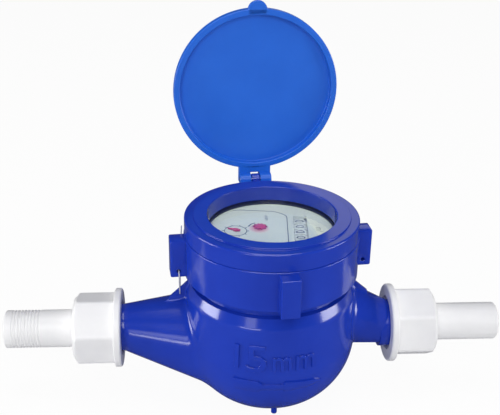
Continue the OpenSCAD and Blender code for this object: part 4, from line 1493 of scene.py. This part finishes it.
    def digits(self) -> list[bpy.types.Object]:
        """Digits round each number wheel, read from the inlet side; the first wheel's are red.

        Returns:
            A piece for each digit.
        """
        made = []
        for wheel in range(1, self.wheels + 1):
            ink, slot = (RED_INK, "red_plastic") if wheel == 1 else (DIAL_INK, "rubber")
            for digit in range(10):
                place = partial(self.on_wheel, wheel=wheel, digit=digit)
                mesh = text_mesh(str(digit), self.digit_size, 0.0, place, f"digit_{wheel}_{digit}")
                made.append(stand_in(add_object(mesh, ink, Body(f"wheel_{wheel}")), slot))
        return made

    def line(
        self, name: str, path: Array, width: float, finish: Plastic = DIAL_INK, closed: bool = False
    ) -> bpy.types.Object:
        """Line on the dial, printed or a painted reflection: a strip of constant width along a path.

        Args:
            name: The piece's name.
            path: Points in the register's own frame.
            width: Width of the line.
            finish: Its ink, or the colour of a painted reflection.
            closed: True if the path is a loop.

        Returns:
            The piece.
        """
        ahead = np.roll(path, -1, axis=0) - np.roll(path, 1, axis=0)
        if not closed:
            ahead[0], ahead[-1] = path[1] - path[0], path[-1] - path[-2]
        unit = ahead / np.linalg.norm(ahead, axis=1, keepdims=True)
        side = np.stack([-unit[:, 1], unit[:, 0]], axis=-1) * width / 2.0
        rows = np.stack([path - side, path + side])
        top = np.concatenate([rows, np.zeros(rows.shape[:2] + (1,))], axis=-1)
        under = top - np.array([0.0, 0.0, self.ink])
        thick = np.stack([top[0], top[1], under[1], under[0]])
        points = self.on_dial(thick.reshape(-1, 3)).reshape(thick.shape)
        strip = Sheet(points, wrap_rows=True, wrap_columns=closed)
        return stand_in(make_object(name, [strip], finish, Body.METER), "dial_print")

    def print_marks(self) -> list[bpy.types.Object]:
        """Printed outline, a painted reflection and a printed arc at the flow star, pointer scale and unit
        marks.

        Returns:
            The pieces.
        """
        border = outline([(-33.4, 3.0, 0.0), (-31.5, 15.0, 9.0), (-21.0, 27.0, 9.0), (2.0, 25.6, 8.0),
                          (8.9, 20.5, 6.0), (8.9, -26.0, 0.0)], closed=False)
        made = [self.line("dial_border", border, self.thin_line)]
        half = np.linspace(0.1, math.pi - 0.1, 40)
        # The violet half ring behind the flow star is a painted reflection of the blue ring wall in the
        # shiny red star; the flow arc is print.
        for name, reach, width, first, last, ink in (("star_reflection_half_ring", 3.2, 2.6, 0.0, 1.0, STAR_REFLECTION_PAINT),
                                                     ("flow_arc", 6.4, 0.7, 0.62, 0.95, DIAL_INK)):
            bend = first * math.pi + (last - first) * half
            made.append(self.line(name, np.array(self.star) + reach * unit_way(bend), width, ink))
        hub = np.array(self.litre_hub)
        ring = unit_way(np.linspace(0.0, FULL_TURN, 72, endpoint=False))
        made.append(self.line("litre_scale", hub + self.litre_r * ring, 0.4, closed=True))
        for k in range(10):
            way = unit_way(k * math.pi / 5.0)
            tick = np.stack([hub + 6.2 * way, hub + 7.4 * way])
            made.append(self.line(f"litre_tick_{k}", tick, self.thin_line))
        for name, words, size, at in (("unit_mark", "m³", 5.5, (24.4, 3.0)),
                                      ("litre_mark", "x0.001", 2.6, (-3.5, 16.5))):
            mesh = text_mesh(words, size, 0.0, partial(self.on_dial, at=at, turn=-90.0), name)
            made.append(stand_in(add_object(mesh, DIAL_INK, Body.METER), "dial_print"))
        return made


def ease_pinions(gap: float = 0.3, merge: float = 1e-8) -> None:
    """Carry pinions drawn back from the number wheels' rims, so that their faces don't rub.

    Each is its solid's mesh, shortened along the counter's axis from its front face.

    Args:
        gap: Room left before the rim, in millimetres.
        merge: Distance in metres under which points become one.
    """
    axis = turned(np.array([0.0, 1.0, 0.0]), REGISTER_TURN)
    for number in range(1, 5):
        node = f"carry_pinion_{number}"
        solid = frame["nodes"][node]
        mesh = solid.data.copy()
        mesh.name = f"{node}_skin"
        place = np.array(solid.matrix_world)
        points = mesh_points(mesh) @ place[:3, :3].T + place[:3, 3]
        run = points @ axis
        share = gap * MM / (run.max() - run.min())
        points = points - np.outer((run - run.min()) * share, axis)
        mesh.vertices.foreach_set("co", points.ravel())
        mesh.materials.clear()
        made = finish_mesh(mesh, INNER_WHITE, Body(f"pinion_{number}"), merge)
        stand_in(made, "inner_plastic", node)


SLOT_FINISH: dict[str, Finish] = {
    "rubber": RUBBER, "steel": STEEL, "inner_plastic": INNER_WHITE, "dial_print": DIAL_PAPER,
    "red_plastic": RED_PLASTIC, "blue_plastic": BODY_BLUE, "lid_plastic": LID_BLUE,
    "white_plastic": COUPLING_WHITE, "window": WINDOW_GLASS,
}


def dress_solids() -> None:
    """Gives every solid its slot's finish, for those that still show; the seal wire has its own."""
    for row in frame["record"]["subparts"]:
        node = row["node"]
        finish = PALE_WIRE if node == "seal_wire" else SLOT_FINISH[row["material_slot"]]
        materials = frame["nodes"][node].data.materials
        materials.clear()
        materials.append(FINISHES.get(finish))
        LOG.info("solid %s", node)


# Studio


@dataclass(frozen=True)
class Lamp:
    """Soft lamp that faces the meter, in metres from the register axis and in watts."""

    name: str
    at: Corner
    size: tuple[float, float]
    power: float
    sheen_only: bool = False
    aim_z: float = 0.03

    def add(self) -> None:
        """Adds the lamp; one that is sheen_only shows in reflections and lights no matt surface."""
        data = bpy.data.lights.new(self.name, "AREA")
        data.shape, data.energy = "RECTANGLE", self.power
        data.size, data.size_y = self.size
        made = bpy.data.objects.new(self.name, data)
        place = np.array([AXIS_X * MM + self.at[0], self.at[1], self.at[2]])
        ahead = np.array([AXIS_X * MM, 0.0, self.aim_z]) - place
        made.rotation_euler = Vector(ahead.tolist()).to_track_quat("-Z", "Y").to_euler()
        made.location = place
        made.visible_diffuse = not self.sheen_only
        bpy.context.scene.collection.objects.link(made)
        LOG.info("lamp %s", self.name)


LAMPS = (
    Lamp("left_window", (-1.1, -0.04, 0.12), (0.6, 0.3), 6.0),
    Lamp("right_window", (1.03, -0.2, 0.12), (0.55, 0.3), 4.5),
    Lamp("front_fill", (-0.1, -1.3, 1.1), (1.2, 0.8), 13.2),
    Lamp("ceiling", (0.0, -0.1, 1.5), (1.0, 1.0), 10.0),
    Lamp("back_wall", (0.6, 1.5, 0.9), (1.2, 0.8), 2.2, sheen_only=True),
    Lamp("front_window", (-0.61, -1.15, 0.31), (0.32, 0.24), 0.6),
    Lamp("low_window", (-0.61, -1.15, 0.03), (0.57, 0.11), 1.5),
)


@dataclass
class Studio:
    """Floor, soft lamps and the camera of the photograph."""

    focal: float = 64.8
    sensor: float = 36.0
    clip_end: float = 50.0
    eye: Corner = (-40.75, -436.09, 273.28)
    yaw: float = math.radians(3.79)
    pitch: float = math.radians(24.604)
    roll: float = math.radians(0.95)
    floor_half: float = 12.0
    floor_drop: float = 0.0001
    world_light: float = 0.05
    world_white: float = 1.0

    def camera(self) -> None:
        """Sets the camera: forward from yaw and pitch, then rolled about it."""
        flat, fall = math.cos(self.pitch), -math.sin(self.pitch)
        ahead = np.array([math.sin(self.yaw) * flat, math.cos(self.yaw) * flat, fall])
        level = np.array([math.cos(self.yaw), -math.sin(self.yaw), 0.0])
        rise = np.cross(level, ahead)
        c, s = math.cos(self.roll), math.sin(self.roll)
        right, up = c * level + s * rise, c * rise - s * level
        data = bpy.data.cameras.new("photo_camera")
        data.lens, data.sensor_width, data.clip_end = self.focal, self.sensor, self.clip_end
        made = bpy.data.objects.new("photo_camera", data)
        turn = np.eye(4)
        turn[:3, :3] = np.column_stack([right, up, -ahead])
        turn[:3, 3] = to_frame(np.array(self.eye))
        made.matrix_world = Matrix(turn.tolist())
        bpy.context.scene.collection.objects.link(made)
        bpy.context.scene.camera = made

    def floor(self) -> None:
        """Adds the floor, just under the feet."""
        half, z = self.floor_half, FLOOR_Z * MM - self.floor_drop
        corners = [(-half, -half, z), (half, -half, z), (half, half, z), (-half, half, z)]
        mesh = bpy.data.meshes.new("studio_floor")
        mesh.from_pydata(corners, [], [(0, 1, 2, 3)])
        mesh.materials.append(FINISHES.get(WHITE_FLOOR))
        floor = bpy.data.objects.new("studio_floor", mesh)
        bpy.context.scene.collection.objects.link(floor)

    def world(self) -> None:
        """Sets a world that the camera sees white and that lights the meter only faintly."""
        world = bpy.data.worlds.new("studio_world")
        bpy.context.scene.world = world
        world.use_nodes = True
        tree = world.node_tree
        path = tree.nodes.new("ShaderNodeLightPath")
        back = tree.nodes["Background"]
        back.inputs["Color"].default_value = (1.0, 1.0, 1.0, 1.0)
        level = tree.nodes.new("ShaderNodeMapRange")
        level.inputs["To Min"].default_value = self.world_light
        level.inputs["To Max"].default_value = self.world_white
        tree.links.new(path.outputs["Is Camera Ray"], level.inputs["Value"])
        tree.links.new(level.outputs["Result"], back.inputs["Strength"])

    def build(self) -> None:
        """Sets the floor, the world, the lamps and the camera."""
        self.floor()
        self.world()
        for lamp in LAMPS:
            lamp.add()
        self.camera()
        bpy.context.scene.view_settings.view_transform = "Standard"


def main() -> None:
    """Builds the meter's looks and the studio."""
    logging.basicConfig(level=logging.INFO, format="%(name)s: %(message)s")
    dress_solids()
    ring = CoverRing()
    BodyMoulding().build()
    CapNut().build()
    ring.build()
    Lid(ring).build()
    Coupling("inlet", Body.INLET_NUT, INLET_FACE, side=-1, nut_turn=16.0, tip_round=0.8,
             threaded=True, nut_in=-8.6, nut_out=17.9).build()
    Coupling("outlet", Body.OUTLET_NUT, OUTLET_FACE, side=1, nut_turn=52.8, tip_round=1.4,
             threaded=False, nut_in=-7.2, nut_out=19.3).build()
    Register().build()
    ease_pinions()
    Studio().build()


if __name__ == "__main__":
    main()
